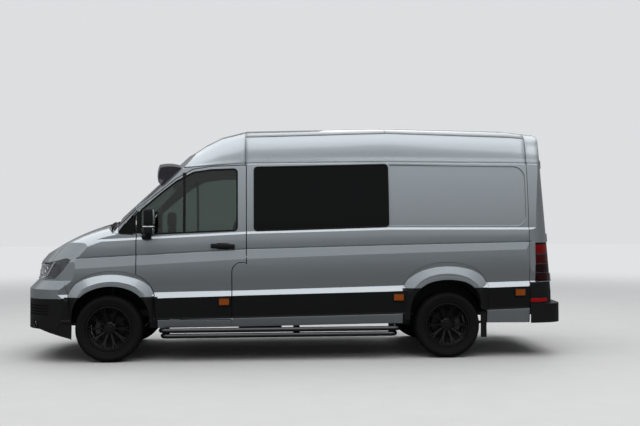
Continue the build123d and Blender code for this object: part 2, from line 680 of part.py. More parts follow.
# Bonnet, fenders, front bumper, grille and headlamps
bonnet_zone = block(bonnet_rear_x, wide, 0, side_far, bonnet_front_z, wide) & block(0, wide, 0, bonnet_half, 0, wide)
bonnet_half_part = (shell & bonnet_zone) - block(1900, 1990, 0, side_far, under, wide)
write(full(bonnet_half_part), "bonnet")
bonnet_opening = block(bonnet_rear_x - panel_gap, wide, 0, bonnet_half + panel_gap, bonnet_front_z - panel_gap, wide)
bumper_solid = outline_solid(bumper_outline, 0, side_far)
lamp_solid = outline_solid(headlamp_outline, grille_half, side_far)
lamp_opening = relief(headlamp_outline, grille_half)
grille_solid = outline_solid(grille_outline, 0, grille_half - fit_gap)
fender = (shell & fender_solid) - flare_shadow(front_flare, front_axle_x)
fender += flare_solid(front_flare, front_axle_x, front_flare_mid, *front_flare_y, front_arch)
fender = fender - bonnet_opening - lamp_opening - screen_opening
fender -= relief(bumper_outline)
fender -= block(1500, bonnet_rear_x, 0, bonnet_half - 54, 1200, wide)
write(fender + mirror(fender, about=Plane.XZ), "fenders")
bumper = (shell & bumper_solid) - lamp_opening
low_zone = outline_solid(bumper_low_outline, 0, side_far)
bumper_low_half = (bumper & low_zone) - block(2600, wide, -10, intake_half, *intake_z)
for height in vent_slats:
    bumper_low_half -= block(vent_x, wide, vent_inner_y, side_far, height - slat_gap / 2, height + slat_gap / 2) - (
        half_envelope(26, 26) & nose(26))
for height in intake_slats:
    bumper_low_half += bumper & block(2600, wide, 0, intake_half, height - slat_gap / 2, height + slat_gap / 2)
with BuildPart() as fog:
    with BuildSketch(Plane.YZ.offset(2600)):
        with Locations((fog_y, fog_z)):
            Circle(fog_radius)
    extrude(amount=400)
bumper_low_half -= fog.part - nose(22)
skirt = plan_prism(plan_front, under, wide, back=skirt_back[0]) & outline_solid(skirt_outline, 0, skirt_y)
skirt -= plan_prism(plan_front, under, wide, back=skirt_back[1]) & block(0, wide, 0, skirt_inner_y, under, wide)
bumper_low_half += skirt - wells
write(full(bumper_low_half), "front_bumper_lower")
write(full(bumper - relief(bumper_low_outline)), "front_bumper")
headlamp = (shell & lamp_solid) - bonnet_opening
write(headlamp + mirror(headlamp, about=Plane.XZ), "headlamps")
grille_half_part = (shell & grille_solid) - bonnet_opening
for height in grille_slots:
    grille_half_part -= block(2600, wide, -10, grille_half - 26, height - 11, height + 11) & (
        outline_solid(grille_outline, 0, grille_half)) - nose(30)
with BuildPart() as stop:
    with BuildSketch(Plane.XY.offset(bonnet_front_z - panel_gap - 10)):
        with Locations(stop_place):
            Circle(stop_radius)
    extrude(amount=panel_gap + 10 - fit_gap)
write(full(grille_half_part + stop.part), "grille")
cowl_solid = block(1990, bonnet_rear_x - panel_gap, 0, bonnet_half - 60, 1300, wide)
write(full((shell & cowl_solid) - screen_opening), "cowl")

# Floor, rails and wheel boxes
inner_fit = half_envelope(wall + fit_gap, 0)
floor_joint = floor_low + fit_gap
floor_plate = block(floor_rear_x, floor_front_x, 0, floor_side_y, floor_joint, floor_top) & inner_fit
floor_plate -= block(front_axle_x - liner_radius - well_clear, wide, floor_well_y, side_far, under, wide)
well_reach = well_radius + well_clear
floor_plate -= block(rear_axle_x - well_reach, rear_axle_x + well_reach, well_inner_y - well_clear, side_far, under,
                     wide)
rail = block(floor_rear_x, rail_front_x, rail_y - rail_half, rail_y + rail_half, floor_low - rail_deep, floor_joint)
rail_front = block(rail_front_x - cross_deep, front_rail_x, rail_y - rail_half, rail_y + rail_half,
                   floor_low - front_rail_deep, floor_joint)
rail_front += block(floor_front_x, front_rail_x, rail_y - rail_half, rail_y + rail_half,
                    floor_low - front_rail_deep, floor_top)
bulkhead = block(floor_front_x, bulkhead_front_x, 0, bulkhead_half, floor_joint, bulkhead_top)
cross = block(-700, -640, 0, rail_y, floor_low - cross_deep, floor_joint)
cross += block(700, 760, 0, rail_y, floor_low - cross_deep, floor_joint)
board = block(board_rear_x, board_front_x, 0, board_half, floor_top, floor_top + board_thick)
write(full(floor_plate + rail + rail_front + bulkhead + cross + board), "floor")

with BuildPart() as rear_box:
    with BuildSketch(Plane.XZ.offset(-(well_inner_y - liner_thick))):
        with Locations((rear_axle_x, tyre_radius + well_rise)):
            Circle(well_radius + liner_thick)
    extrude(amount=-(floor_side_y - well_inner_y + liner_thick))
rear_box_part = (rear_box.part & inner_fit) - liner_rear_cut.part - block(-wide, wide, 0, side_far, 0, floor_joint)
write(rear_box_part + mirror(rear_box_part, about=Plane.XZ), "rear_wheel_boxes")
with BuildPart() as liner:
    with BuildSketch(Plane.XZ.offset(-(liner_inner_y - liner_thick))):
        with Locations((front_axle_x, tyre_radius)):
            Circle(liner_radius + liner_thick)
    extrude(amount=-(liner_outer_y - liner_inner_y + liner_thick))
liner_part = liner.part - liner_front_cut.part - block(-wide, wide, 0, side_far, 0, liner_low)
liner_part &= solid_half + (arch_front & block(0, wide, 0, liner_inner_y, liner_wall_low, wide))
write(liner_part + mirror(liner_part, about=Plane.XZ), "front_wheel_liners")

# Front suspension: subframe with arms, and fixed struts that the knuckles turn on
with BuildPart() as subframe:
    with BuildSketch(Plane.XY.offset(arm_low)):
        with Locations((front_axle_x, 0)):
            Rectangle(360, 2 * (rail_y + rail_half))
        with Locations((front_axle_x, 0)):
            Rectangle(70, 2 * (king_y + 26))
    extrude(amount=arm_thick)
    with BuildSketch(Plane.XY.offset(arm_low + arm_thick)):
        with Locations((front_axle_x - 130, rail_y), (front_axle_x + 130, rail_y),
                       (front_axle_x - 130, -rail_y), (front_axle_x + 130, -rail_y)):
            Circle(22)
    extrude(amount=floor_low - 30 - arm_low - arm_thick)
    with BuildSketch(Plane.XY.offset(arm_low + arm_thick)):
        with Locations((front_axle_x, king_y), (front_axle_x, -king_y)):
            Circle(pin_radius)
    extrude(amount=40)
with BuildPart() as struts:
    with BuildSketch(Plane.XY.offset(sleeve_low + 90)):
        with Locations((front_axle_x, king_y), (front_axle_x, -king_y)):
            Circle(rod_radius)
    extrude(amount=strut_top - sleeve_low - 90)
    with BuildSketch(Plane.XY.offset(spring_low)):
        with Locations((front_axle_x, king_y), (front_axle_x, -king_y)):
            Circle(34)
    extrude(amount=strut_top - 1.6 - spring_low)
write(subframe.part + struts.part, "front_suspension")


def knuckle(name, side):
    """A steering knuckle: a sleeve round the strut, a carrier and the spindle for its wheel."""
    with BuildPart() as piece:
        with BuildSketch(Plane.XY.offset(sleeve_low)):
            with Locations((front_axle_x, side * king_y)):
                Circle(sleeve_radius)
        extrude(amount=sleeve_high - sleeve_low)
        with BuildSketch(Plane.XY.offset(tyre_radius - 45)):
            with Locations((front_axle_x, side * (king_y + carrier_y) / 2)):
                Rectangle(80, carrier_y - king_y)
        extrude(amount=90)
        with BuildSketch(Plane.XZ.offset(-side * (carrier_y - 10))):
            with Locations((front_axle_x, tyre_radius)):
                Circle(52)
        extrude(amount=-side * 10)
        with BuildSketch(Plane.XZ.offset(-side * carrier_y)):
            with Locations((front_axle_x, tyre_radius)):
                Circle(spindle_radius)
        extrude(amount=-side * (spindle_end_y - carrier_y))
        with BuildSketch(Plane.XY.offset(sleeve_low)):
            with Locations((front_axle_x, side * king_y)):
                Circle(pin_radius + bearing_gap)
        extrude(amount=60, mode=Mode.SUBTRACT)
        with BuildSketch(Plane.XY.offset(sleeve_low + 80)):
            with Locations((front_axle_x, side * king_y)):
                Circle(rod_radius + bearing_gap)
        extrude(amount=sleeve_high, mode=Mode.SUBTRACT)
    write(piece.part, name)


knuckle("knuckle_left", 1)
knuckle("knuckle_right", -1)

# Rear axle with its spindles, and leaf springs
with BuildPart() as axle:
    with BuildSketch(Plane.XZ.offset(-(carrier_y - 10))):
        with Locations((rear_axle_x, tyre_radius)):
            Rectangle(90, 90)
    extrude(amount=2 * (carrier_y - 10))
    with BuildSketch(Plane.XZ.offset(-spindle_end_y)):
        with Locations((rear_axle_x, tyre_radius)):
            Circle(spindle_radius)
    extrude(amount=2 * spindle_end_y)
write(axle.part, "rear_axle")
with BuildPart() as leaf:
    with BuildSketch(Plane.XZ.offset(-(spring_y - 30))):
        with BuildLine():
            ThreePointArc((rear_axle_x - 640, 368), (rear_axle_x, 289), (rear_axle_x + 640, 368))
            Line((rear_axle_x + 640, 368), (rear_axle_x + 640, 388))
            ThreePointArc((rear_axle_x + 640, 388), (rear_axle_x, 309.3), (rear_axle_x - 640, 388))
            Line((rear_axle_x - 640, 388), (rear_axle_x - 640, 368))
        make_face()
    extrude(amount=-60)
spring_half = leaf.part
spring_half += block(rear_axle_x + 600, rear_axle_x + 640, spring_y - 30, spring_y + 30, 370, floor_low)
spring_half += block(rear_axle_x - 640, rear_axle_x - 600, spring_y - 30, spring_y + 30, 370, floor_low)
write(spring_half + mirror(spring_half, about=Plane.XZ), "leaf_springs")


def wheel(name, tyre_name, x, side):
    """An alloy wheel with its hub and brake disc, and the tyre on it."""
    centre = Plane(origin=(x, side * half_track, tyre_radius), x_dir=(1, 0, 0), z_dir=(0, side, 0))
    with BuildPart() as rim:
        with BuildSketch(Plane(origin=centre.origin, x_dir=(0, side, 0), z_dir=(1, 0, 0))):
            with BuildLine():
                Polyline(*[(across, rim_radius - drop) for across, drop in rim_section], close=True)
            make_face()
        revolve(axis=Axis(centre.origin, (0, 1, 0)))
        with BuildSketch(centre.offset(brake_inner)):
            Circle(brake_radius)
        extrude(amount=brake_thick)
        with BuildSketch(centre.offset(brake_inner)):
            Circle(58)
        extrude(amount=disc_inner - brake_inner)
        with BuildSketch(centre.offset(brake_inner)):
            Circle(spindle_radius + bearing_gap)
        extrude(amount=spindle_end_y + bearing_gap * 4 - half_track - brake_inner, mode=Mode.SUBTRACT)
    with BuildPart() as spokes:
        with BuildSketch(centre.offset(0)):
            Circle(hub_radius)
            with PolarLocations(0, spoke_count):
                with Locations((fork_radius / 2, 0)):
                    Rectangle(fork_radius, spoke_width)
                for turn in (-fork_angle, fork_angle):
                    with Locations(Location((fork_radius - 12, 0, 0), (0, 0, 1), turn)):
                        with Locations(((rim_radius - fork_radius) / 2, 0)):
                            Rectangle(rim_radius - fork_radius, spoke_width * 0.72)
        extrude(amount=120)
    with BuildPart() as dish:
        with BuildSketch(Plane(origin=centre.origin, x_dir=(0, side, 0), z_dir=(1, 0, 0))):
            with BuildLine():
                Polyline((disc_inner, 0), (disc_outer, 0), (disc_outer, hub_radius - 4),
                         (disc_outer - 6, hub_radius + 4), (82, rim_radius - 28), (82, rim_radius - 16),
                         (60, rim_radius - 24), (disc_inner, hub_radius + 10), close=True)
            make_face()
        revolve(axis=Axis(centre.origin, (0, 1, 0)))
    with BuildPart() as cap:
        with BuildSketch(centre.offset(disc_outer)):
            Circle(cap_radius)
        extrude(amount=cap_high)
        fillet(cap.edges().sort_by(Axis.Y)[-1 if side > 0 else 0], 4)
    with BuildPart() as bore:
        with BuildSketch(centre.offset(brake_inner)):
            Circle(spindle_radius + bearing_gap)
        extrude(amount=spindle_end_y + bearing_gap * 4 - half_track - brake_inner)
    write((rim.part + ((spokes.part & dish.part) - bore.part)) + cap.part, name)
    with BuildPart() as tyre:
        with BuildSketch(Plane(origin=centre.origin, x_dir=(0, side, 0), z_dir=(1, 0, 0))):
            with BuildLine():
                half = tyre_width / 2
                bead = (seat_half, rim_radius + 10)
                bulge = (half, (rim_radius + tyre_radius) / 2)
                edge = [(half - across, tyre_radius - drop) for across, drop in ((14, 14), (22, 4), (36, 0))]
                foot = (seat_half, rim_radius - 12 + fit_gap)
                Polyline((-bead[0], bead[1]), (-foot[0], foot[1]), foot, bead)
                ThreePointArc(bead, bulge, edge[0])
                ThreePointArc(*edge)
                Line(edge[2], (-edge[2][0], edge[2][1]))
                ThreePointArc(*[(-across, out) for across, out in edge[::-1]])
                ThreePointArc((-edge[0][0], edge[0][1]), (-bulge[0], bulge[1]), (-bead[0], bead[1]))
            make_face()
        revolve(axis=Axis(centre.origin, (0, 1, 0)))
    write(tyre.part, tyre_name)


wheel("wheel_front_left", "tyre_front_left", front_axle_x, 1)
wheel("wheel_front_right", "tyre_front_right", front_axle_x, -1)
wheel("wheel_rear_left", "tyre_rear_left", rear_axle_x, 1)
wheel("wheel_rear_right", "tyre_rear_right", rear_axle_x, -1)

# Side step tubes, mud flaps and marker lamps
with BuildPart() as tubes:
    for height, x_fore, x_aft in tube_rows:
        with BuildLine(Plane.XY.offset(height)) as run:
            FilletPolyline((x_fore - 70, tube_inner_y), (x_fore, tube_y), (x_aft, tube_y), (x_aft + 70, tube_inner_y),
                           radius=tube_bend)
        with BuildSketch(Plane(origin=run.line @ 0, z_dir=run.line % 0)):
            Circle(tube_radius)
        sweep(path=run.line)
        with BuildSketch(Plane.XZ.offset(-tube_inner_y)):
            with Locations((0, height)):
                Circle(tube_radius / 2)
        extrude(amount=-(tube_y - tube_inner_y))
    low_row = tube_rows[-1]
    with BuildSketch(Plane.XY.offset(low_row[0] - 30)):
        with Locations(*[(x, tube_inner_y - 5) for x in (low_row[1] - 80, 0, low_row[2] + 80)]):
            Rectangle(70, 10)
    extrude(amount=floor_low - low_row[0] + 30)
write(tubes.part + mirror(tubes.part, about=Plane.XZ), "side_tubes")
flap = block(flap_x - 34, flap_x - 26, 790, 975, 222, floor_low)
flap += block(flap_x - 34, flap_x + 30, 965, 975, 222, 500)
write(flap + mirror(flap, about=Plane.XZ), "mud_flaps")
marker = None
for x in marker_x:
    base_z = row("cladding low", x) + marker_rise
    zone = block(x - marker_half, x + marker_half, 900, side_far, base_z, base_z + marker_high)
    piece = (half_envelope(-marker_proud, 0) - half_envelope(-fit_gap, 0)) & zone
    marker = piece if marker is None else marker + piece
write(marker + mirror(marker, about=Plane.XZ), "marker_lamps")

# Sun visor over the windscreen: an arched blade bent round it, closed at its ends
screen_along = Vector(screen_top[0] - screen_base[0], 0, screen_top[1] - screen_base[1]).normalized()
screen_out = Vector(screen_along.Z, 0, -screen_along.X)
screen_foot_point = Vector(screen_base[0], 0, screen_base[1])
screen_axis = Axis(screen_foot_point - screen_out * screen_radius, screen_along)
section_plane = Plane(origin=screen_foot_point, x_dir=screen_along, z_dir=(0, 1, 0))


def bent_section(points, turn, start):
    """A section drawn up and off the windscreen, turned round the axis it is bent to."""
    with BuildPart() as bent:
        with BuildSketch(section_plane):
            with BuildLine():
                draw_ring(points)
            make_face()
        revolve(axis=screen_axis, revolution_arc=turn)
    return bent.part.rotate(screen_axis, start)


visor = bent_section(visor_outer + visor_inner, visor_turn, -visor_turn / 2)
cheek = visor_outer + ((visor_outer[-1][0], 0),)
visor += bent_section(cheek, cheek_turn, -visor_turn / 2)
visor += bent_section(cheek, cheek_turn, visor_turn / 2 - cheek_turn)
visor -= full(half_envelope(-fit_gap, -fit_gap) - screen_cut(-fit_gap))
write(visor, "sun_visor")

# Mirrors on the front doors
with BuildPart() as mirror_part:
    with BuildSketch(Plane.XZ.offset(-mirror_y[0])):
        with Locations(mirror_place):
            RectangleRounded(*mirror_size, mirror_round)
    extrude(amount=mirror_y[0] - mirror_y[1])
    with BuildSketch(Plane.XZ.offset(-mirror_arm_y[0])):
        with Locations(mirror_arm):
            Rectangle(*mirror_arm_size)
    extrude(amount=mirror_arm_y[0] - mirror_arm_y[1])
mirror_left = mirror_part.part - half_envelope(-fit_gap, 0)
write(mirror_left, "mirror_left")
write(mirror(mirror_left, about=Plane.XZ), "mirror_right")

# Cab: dashboard, steering wheel and seats
with BuildPart() as dashboard:
    with BuildSketch(Plane.XZ.offset(-dash_half)):
        with BuildLine():
            Polyline(*dash_outline, close=True)
        make_face()
    extrude(amount=2 * dash_half)
write(dashboard.part & full(cabin), "dashboard")
column = Plane(origin=(column_foot[0], wheel_y, column_foot[1]), x_dir=(0, 1, 0),
               z_dir=(-cos(radians(column_tilt)), 0, sin(radians(column_tilt))))
with BuildPart() as steering:
    with BuildSketch(column):
        Circle(wheel_ring)
        Circle(wheel_hole, mode=Mode.SUBTRACT)
        Rectangle(376, 50)
    extrude(amount=28)
    with BuildSketch(column):
        Circle(70)
    extrude(amount=30)
    with BuildSketch(column.offset(4)):
        Circle(32)
    extrude(amount=-column_long)
write(steering.part - dashboard.part, "steering_wheel")


def seat(y):
    """A cab seat on its plinth, with backrest and headrest."""
    with BuildPart() as piece:
        with BuildSketch(Plane.XZ.offset(-(y - seat_width / 2))):
            with BuildLine():
                Polyline(*seat_outline, close=True)
            make_face()
        extrude(amount=-seat_width)
        with BuildSketch(Plane.XY.offset(floor_top + fit_gap)):
            with Locations((sum(plinth_x) / 2, y)):
                Rectangle(plinth_x[1] - plinth_x[0], seat_width - 60)
        extrude(amount=300)
        with BuildSketch(Plane.XZ.offset(-(y - headrest_half))):
            with BuildLine():
                Polyline(*headrest_outline, close=True)
            make_face()
        extrude(amount=-2 * headrest_half)
    return piece.part


write(seat(wheel_y) + seat(-wheel_y), "cab_seats")

# Masses under the bonnet and the floor
engine = block(engine_x[0], engine_x[1], -engine_half, engine_half, 330, 960)
mount_y = rail_y - rail_half - fit_gap
engine += block(engine_x[0] + 150, engine_x[0] + 250, -mount_y, mount_y, floor_low, floor_low + 60)
write(engine, "engine_block")
write(block(*tank_box, floor_low - fit_gap), "fuel_tank")
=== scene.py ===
import bmesh
import bpy
import math
from mathutils import Matrix, Vector
from mathutils.bvhtree import BVHTree


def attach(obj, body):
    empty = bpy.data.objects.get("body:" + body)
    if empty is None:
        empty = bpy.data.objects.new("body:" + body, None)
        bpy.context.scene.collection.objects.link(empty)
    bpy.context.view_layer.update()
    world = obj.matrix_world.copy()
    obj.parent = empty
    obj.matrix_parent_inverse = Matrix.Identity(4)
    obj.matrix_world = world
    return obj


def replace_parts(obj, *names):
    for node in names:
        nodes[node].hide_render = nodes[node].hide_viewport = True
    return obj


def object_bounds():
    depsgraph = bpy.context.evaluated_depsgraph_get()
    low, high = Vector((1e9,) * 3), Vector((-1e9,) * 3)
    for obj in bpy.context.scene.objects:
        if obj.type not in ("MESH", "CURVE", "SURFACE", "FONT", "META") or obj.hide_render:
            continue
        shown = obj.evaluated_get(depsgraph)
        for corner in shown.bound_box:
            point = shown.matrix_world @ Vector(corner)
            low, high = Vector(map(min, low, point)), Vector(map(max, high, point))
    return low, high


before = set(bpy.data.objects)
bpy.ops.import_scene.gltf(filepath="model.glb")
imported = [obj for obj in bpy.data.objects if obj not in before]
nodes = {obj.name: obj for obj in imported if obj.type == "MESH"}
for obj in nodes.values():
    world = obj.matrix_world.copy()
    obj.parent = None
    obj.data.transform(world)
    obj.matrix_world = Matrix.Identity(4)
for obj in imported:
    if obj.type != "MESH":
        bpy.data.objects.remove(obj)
cad_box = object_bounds()
scene = bpy.context.scene

# Places and sizes that the pieces below share with the van, in metres
front_axle_x, rear_axle_x = 1.997, -1.643
half_track, tyre_radius = 0.861, 0.355
# The sign of places on either side of the van, and the side's name
hands = ((1, "left"), (-1, "right"))
wheel_places = {
    "front_left": (front_axle_x, 1),
    "front_right": (front_axle_x, -1),
    "rear_left": (rear_axle_x, 1),
    "rear_right": (rear_axle_x, -1),
}
# Lower and upper edge of the black side cladding: distance along the van, then height
cladding_low = ((-3.0, 0.545), (-2.4, 0.525), (-1.01, 0.482), (0.54, 0.458), (1.34, 0.449), (3.0, 0.433))
cladding_top = ((-3.0, 0.783), (-2.4, 0.768), (-1.01, 0.729), (0.54, 0.701), (1.34, 0.682), (3.0, 0.640))
# Black places on the body, as low and high corners: foot of the screen pillar, window divider, handle cup
# and cowl
black_boxes = (
    ((1.646, 0.70, 1.368), (1.724, 1.10, 1.606)),
    ((1.180, 0.60, 1.380), (1.220, 1.10, 2.020)),
    ((0.726, 0.90, 1.190), (0.850, 0.9712, 1.268)),
    ((1.960, -1.0, 1.300), (2.130, 0.60, 1.700)),
)


# Shader building

def add(tree, kind, values=None, **settings):
    """One node of a tree, its settings, and the values or sockets that feed it."""
    node = tree.nodes.new(kind)
    for key, value in settings.items():
        setattr(node, key, value)
    for key, value in (values or {}).items():
        if isinstance(value, bpy.types.NodeSocket):
            tree.links.new(value, node.inputs[key])
        else:
            node.inputs[key].default_value = value
    return node


def calc(tree, operation, first, second=0.0, third=0.0, clamp=False):
    """The result of one sum on values or sockets."""
    return add(tree, "ShaderNodeMath", {0: first, 1: second, 2: third}, operation=operation,
               use_clamp=clamp).outputs[0]


def within(tree, value, low, high):
    """1 where a value lies between two others, and 0 elsewhere."""
    above = calc(tree, "GREATER_THAN", value, low)
    return calc(tree, "MULTIPLY", above, calc(tree, "LESS_THAN", value, high))


def blend_colour(tree, factor, first, second):
    """The colour between two others."""
    return add(tree, "ShaderNodeMix", {0: factor, 6: first, 7: second}, data_type="RGBA").outputs[2]


def blend_value(tree, factor, first, second):
    """The value between two others."""
    return add(tree, "ShaderNodeMix", {0: factor, 2: first, 3: second}, data_type="FLOAT").outputs[0]


def new_group(name, inputs, outputs):
    """An empty shader group with its named sockets."""
    tree = bpy.data.node_groups.new(name, "ShaderNodeTree")
    for label, value in inputs:
        socket = tree.interface.new_socket(label, in_out="INPUT", socket_type="NodeSocketFloat")
        socket.default_value = value
    for label in outputs:
        tree.interface.new_socket(label, in_out="OUTPUT", socket_type="NodeSocketFloat")
    return tree, tree.nodes.new("NodeGroupInput").outputs, tree.nodes.new("NodeGroupOutput")


def build_grain():
    """Fine moulded or woven relief: its height and a slow change of tone."""
    tree, given, result = new_group("surface_grain", [("Scale", 900.0), ("Stretch", 1.0)], ["Height", "Tone"])
    place = add(tree, "ShaderNodeTexCoord").outputs["Object"]
    stretch = add(tree, "ShaderNodeCombineXYZ", {0: given["Stretch"], 1: 1.0, 2: 1.0}).outputs[0]
    pulled = add(tree, "ShaderNodeVectorMath", {0: place, 1: stretch}, operation="MULTIPLY").outputs[0]
    fine = add(tree, "ShaderNodeTexNoise", {"Vector": pulled, "Scale": given["Scale"], "Detail": 3.0})
    broad = add(tree, "ShaderNodeTexNoise", {"Vector": place, "Scale": 3.1, "Detail": 4.0})
    tree.links.new(fine.outputs[0], result.inputs["Height"])
    tree.links.new(broad.outputs[0], result.inputs["Tone"])
    return tree


def build_road_film():
    """Dust thrown up from the road: strongest near the ground and in patches."""
    tree, given, result = new_group("road_film", [("Amount", 0.3), ("Top", 1.0)], ["Mask"])
    place = add(tree, "ShaderNodeTexCoord").outputs["Object"]
    height = add(tree, "ShaderNodeSeparateXYZ", {0: place}).outputs[2]
    fall = calc(tree, "SUBTRACT", 1.0, calc(tree, "DIVIDE", height, given["Top"]), clamp=True)
    cloud = {"Vector": place, "Scale": 7.0, "Detail": 6.0, "Roughness": 0.7}
    patches = add(tree, "ShaderNodeTexNoise", cloud).outputs[0]
    worn = calc(tree, "MULTIPLY", calc(tree, "POWER", fall, 1.6), patches)
    tree.links.new(calc(tree, "MULTIPLY", worn, given["Amount"], clamp=True), result.inputs["Mask"])
    return tree


def height_line(tree, along, line):
    """The height of a feature line at a place along the van."""
    low, high = line[0][0], line[-1][0]
    share = add(tree, "ShaderNodeMapRange", {0: along, 1: low, 2: high, 3: 0.0, 4: 1.0}).outputs[0]
    curve = add(tree, "ShaderNodeFloatCurve", {"Value": share})
    points = curve.mapping.curves[0].points
    while len(points) < len(line):
        points.new(0.5, 0.5)
    for point, (x, z) in zip(points, line):
        point.location = ((x - low) / (high - low), z)
        point.handle_type = "VECTOR"
    curve.mapping.update()
    return curve.outputs[0]


def build_body_zones():
    """Where a body panel is black cladding, and where it is the lining inside."""
    tree, _, result = new_group("body_zones", [], ["Cladding", "Lining", "Height"])
    coordinate = add(tree, "ShaderNodeTexCoord")
    place = coordinate.outputs["Object"]
    axis = add(tree, "ShaderNodeSeparateXYZ", {0: place}).outputs
    measures = (axis[0], calc(tree, "ABSOLUTE", axis[1]), axis[2])
    lower, upper = (height_line(tree, axis[0], line) for line in (cladding_low, cladding_top))
    band = within(tree, axis[2], lower, upper)
    # Middle, half length and top of the black edge round each wheel arch
    arches = ((front_axle_x - 0.026, 0.492, 0.694), (rear_axle_x + 0.03, 0.466, 0.762))
    for middle, reach, top in arches:
        near = calc(tree, "LESS_THAN", calc(tree, "ABSOLUTE", calc(tree, "SUBTRACT", axis[0], middle)), reach)
        arch = calc(tree, "MULTIPLY", near, calc(tree, "LESS_THAN", axis[2], top))
        band = calc(tree, "MAXIMUM", band, arch)
    band = calc(tree, "MULTIPLY", band, calc(tree, "GREATER_THAN", measures[1], 0.94))
    for low, high in black_boxes:
        inside = 1.0
        for measure, start, end in zip(measures, low, high):
            inside = calc(tree, "MULTIPLY", inside, within(tree, measure, start, end))
        band = calc(tree, "MAXIMUM", band, inside)
    tree.links.new(band, result.inputs["Cladding"])
    # Inner faces look towards a flat core that stands along the middle of the van
    core = add(tree, "ShaderNodeVectorMath", {0: place, 1: (-2.4, 0.0, 0.9)}, operation="MAXIMUM").outputs[0]
    core = add(tree, "ShaderNodeVectorMath", {0: core, 1: (1.6, 0.0, 2.0)}, operation="MINIMUM").outputs[0]
    away = add(tree, "ShaderNodeVectorMath", {0: place, 1: core}, operation="SUBTRACT").outputs[0]
    normal = coordinate.outputs["Normal"]
    facing = add(tree, "ShaderNodeVectorMath", {0: normal, 1: away}, operation="DOT_PRODUCT").outputs["Value"]
    tree.links.new(calc(tree, "LESS_THAN", facing, -0.05), result.inputs["Lining"])
    tree.links.new(axis[2], result.inputs["Height"])
    return tree


grain_group, film_group, zone_group = build_grain(), build_road_film(), build_body_zones()


def new_material(name):
    """An empty material, its tree and its shader."""
    material = bpy.data.materials.new(name)
    material.use_nodes = True
    tree = material.node_tree
    tree.nodes.clear()
    shader = add(tree, "ShaderNodeBsdfPrincipled")
    tree.links.new(shader.outputs[0], add(tree, "ShaderNodeOutputMaterial").inputs[0])
    return material, tree, shader


def use_group(tree, group, **values):
    """A group placed in a material with its own values."""
    node = add(tree, "ShaderNodeGroup", node_tree=group)
    for key, value in values.items():
        node.inputs[key].default_value = value
    return node.outputs


def feed(tree, shader, **values):
    """Set or link the shader's sockets. A name's underscores stand for spaces."""
    for key, value in values.items():
        socket = shader.inputs[key.replace("_", " ")]
        if isinstance(value, bpy.types.NodeSocket):
            tree.links.new(value, socket)
        else:
            socket.default_value = value


def relief(tree, height, depth, distance, base=None):
    """A normal from a height, over an eased normal where one is given."""
    values = {"Strength": depth, "Distance": distance, "Height": height}
    if base:
        values["Normal"] = base
    return add(tree, "ShaderNodeBump", values).outputs[0]


road_dust = (0.12, 0.108, 0.092, 1.0)


def grained(name, colour, rough, scale=900.0, stretch=1.0, depth=0.3, distance=0.0006, film=0.15,
            film_top=0.9, metal=0.0, coat=0.0, spread=0.12, sheen=0.0, gloss=0.14):
    """A moulded, cast or woven finish with grain, slow changes of tone and road dust low down."""
    material, tree, shader = new_material(name)
    grain = use_group(tree, grain_group, Scale=scale, Stretch=stretch)
    mask = use_group(tree, film_group, Amount=film, Top=film_top)["Mask"]
    light = [min(1.0, c * (1 + spread)) for c in colour] + [1.0]
    dark = [c * (1 - spread) for c in colour] + [1.0]
    tone = blend_colour(tree, grain["Tone"], dark, light)
    tone = blend_colour(tree, mask, tone, road_dust)
    spotted = calc(tree, "MULTIPLY_ADD", grain["Height"], 0.16, rough - 0.08)
    dulled = calc(tree, "ADD", spotted, calc(tree, "MULTIPLY", mask, 0.3))
    feed(tree, shader, Base_Color=tone, Roughness=dulled, Metallic=metal, Specular_IOR_Level=gloss,
         Coat_Weight=coat, Coat_Roughness=0.08, Sheen_Weight=sheen, Sheen_Roughness=0.5,
         Normal=relief(tree, grain["Height"], depth, distance))
    return material


# Finishes

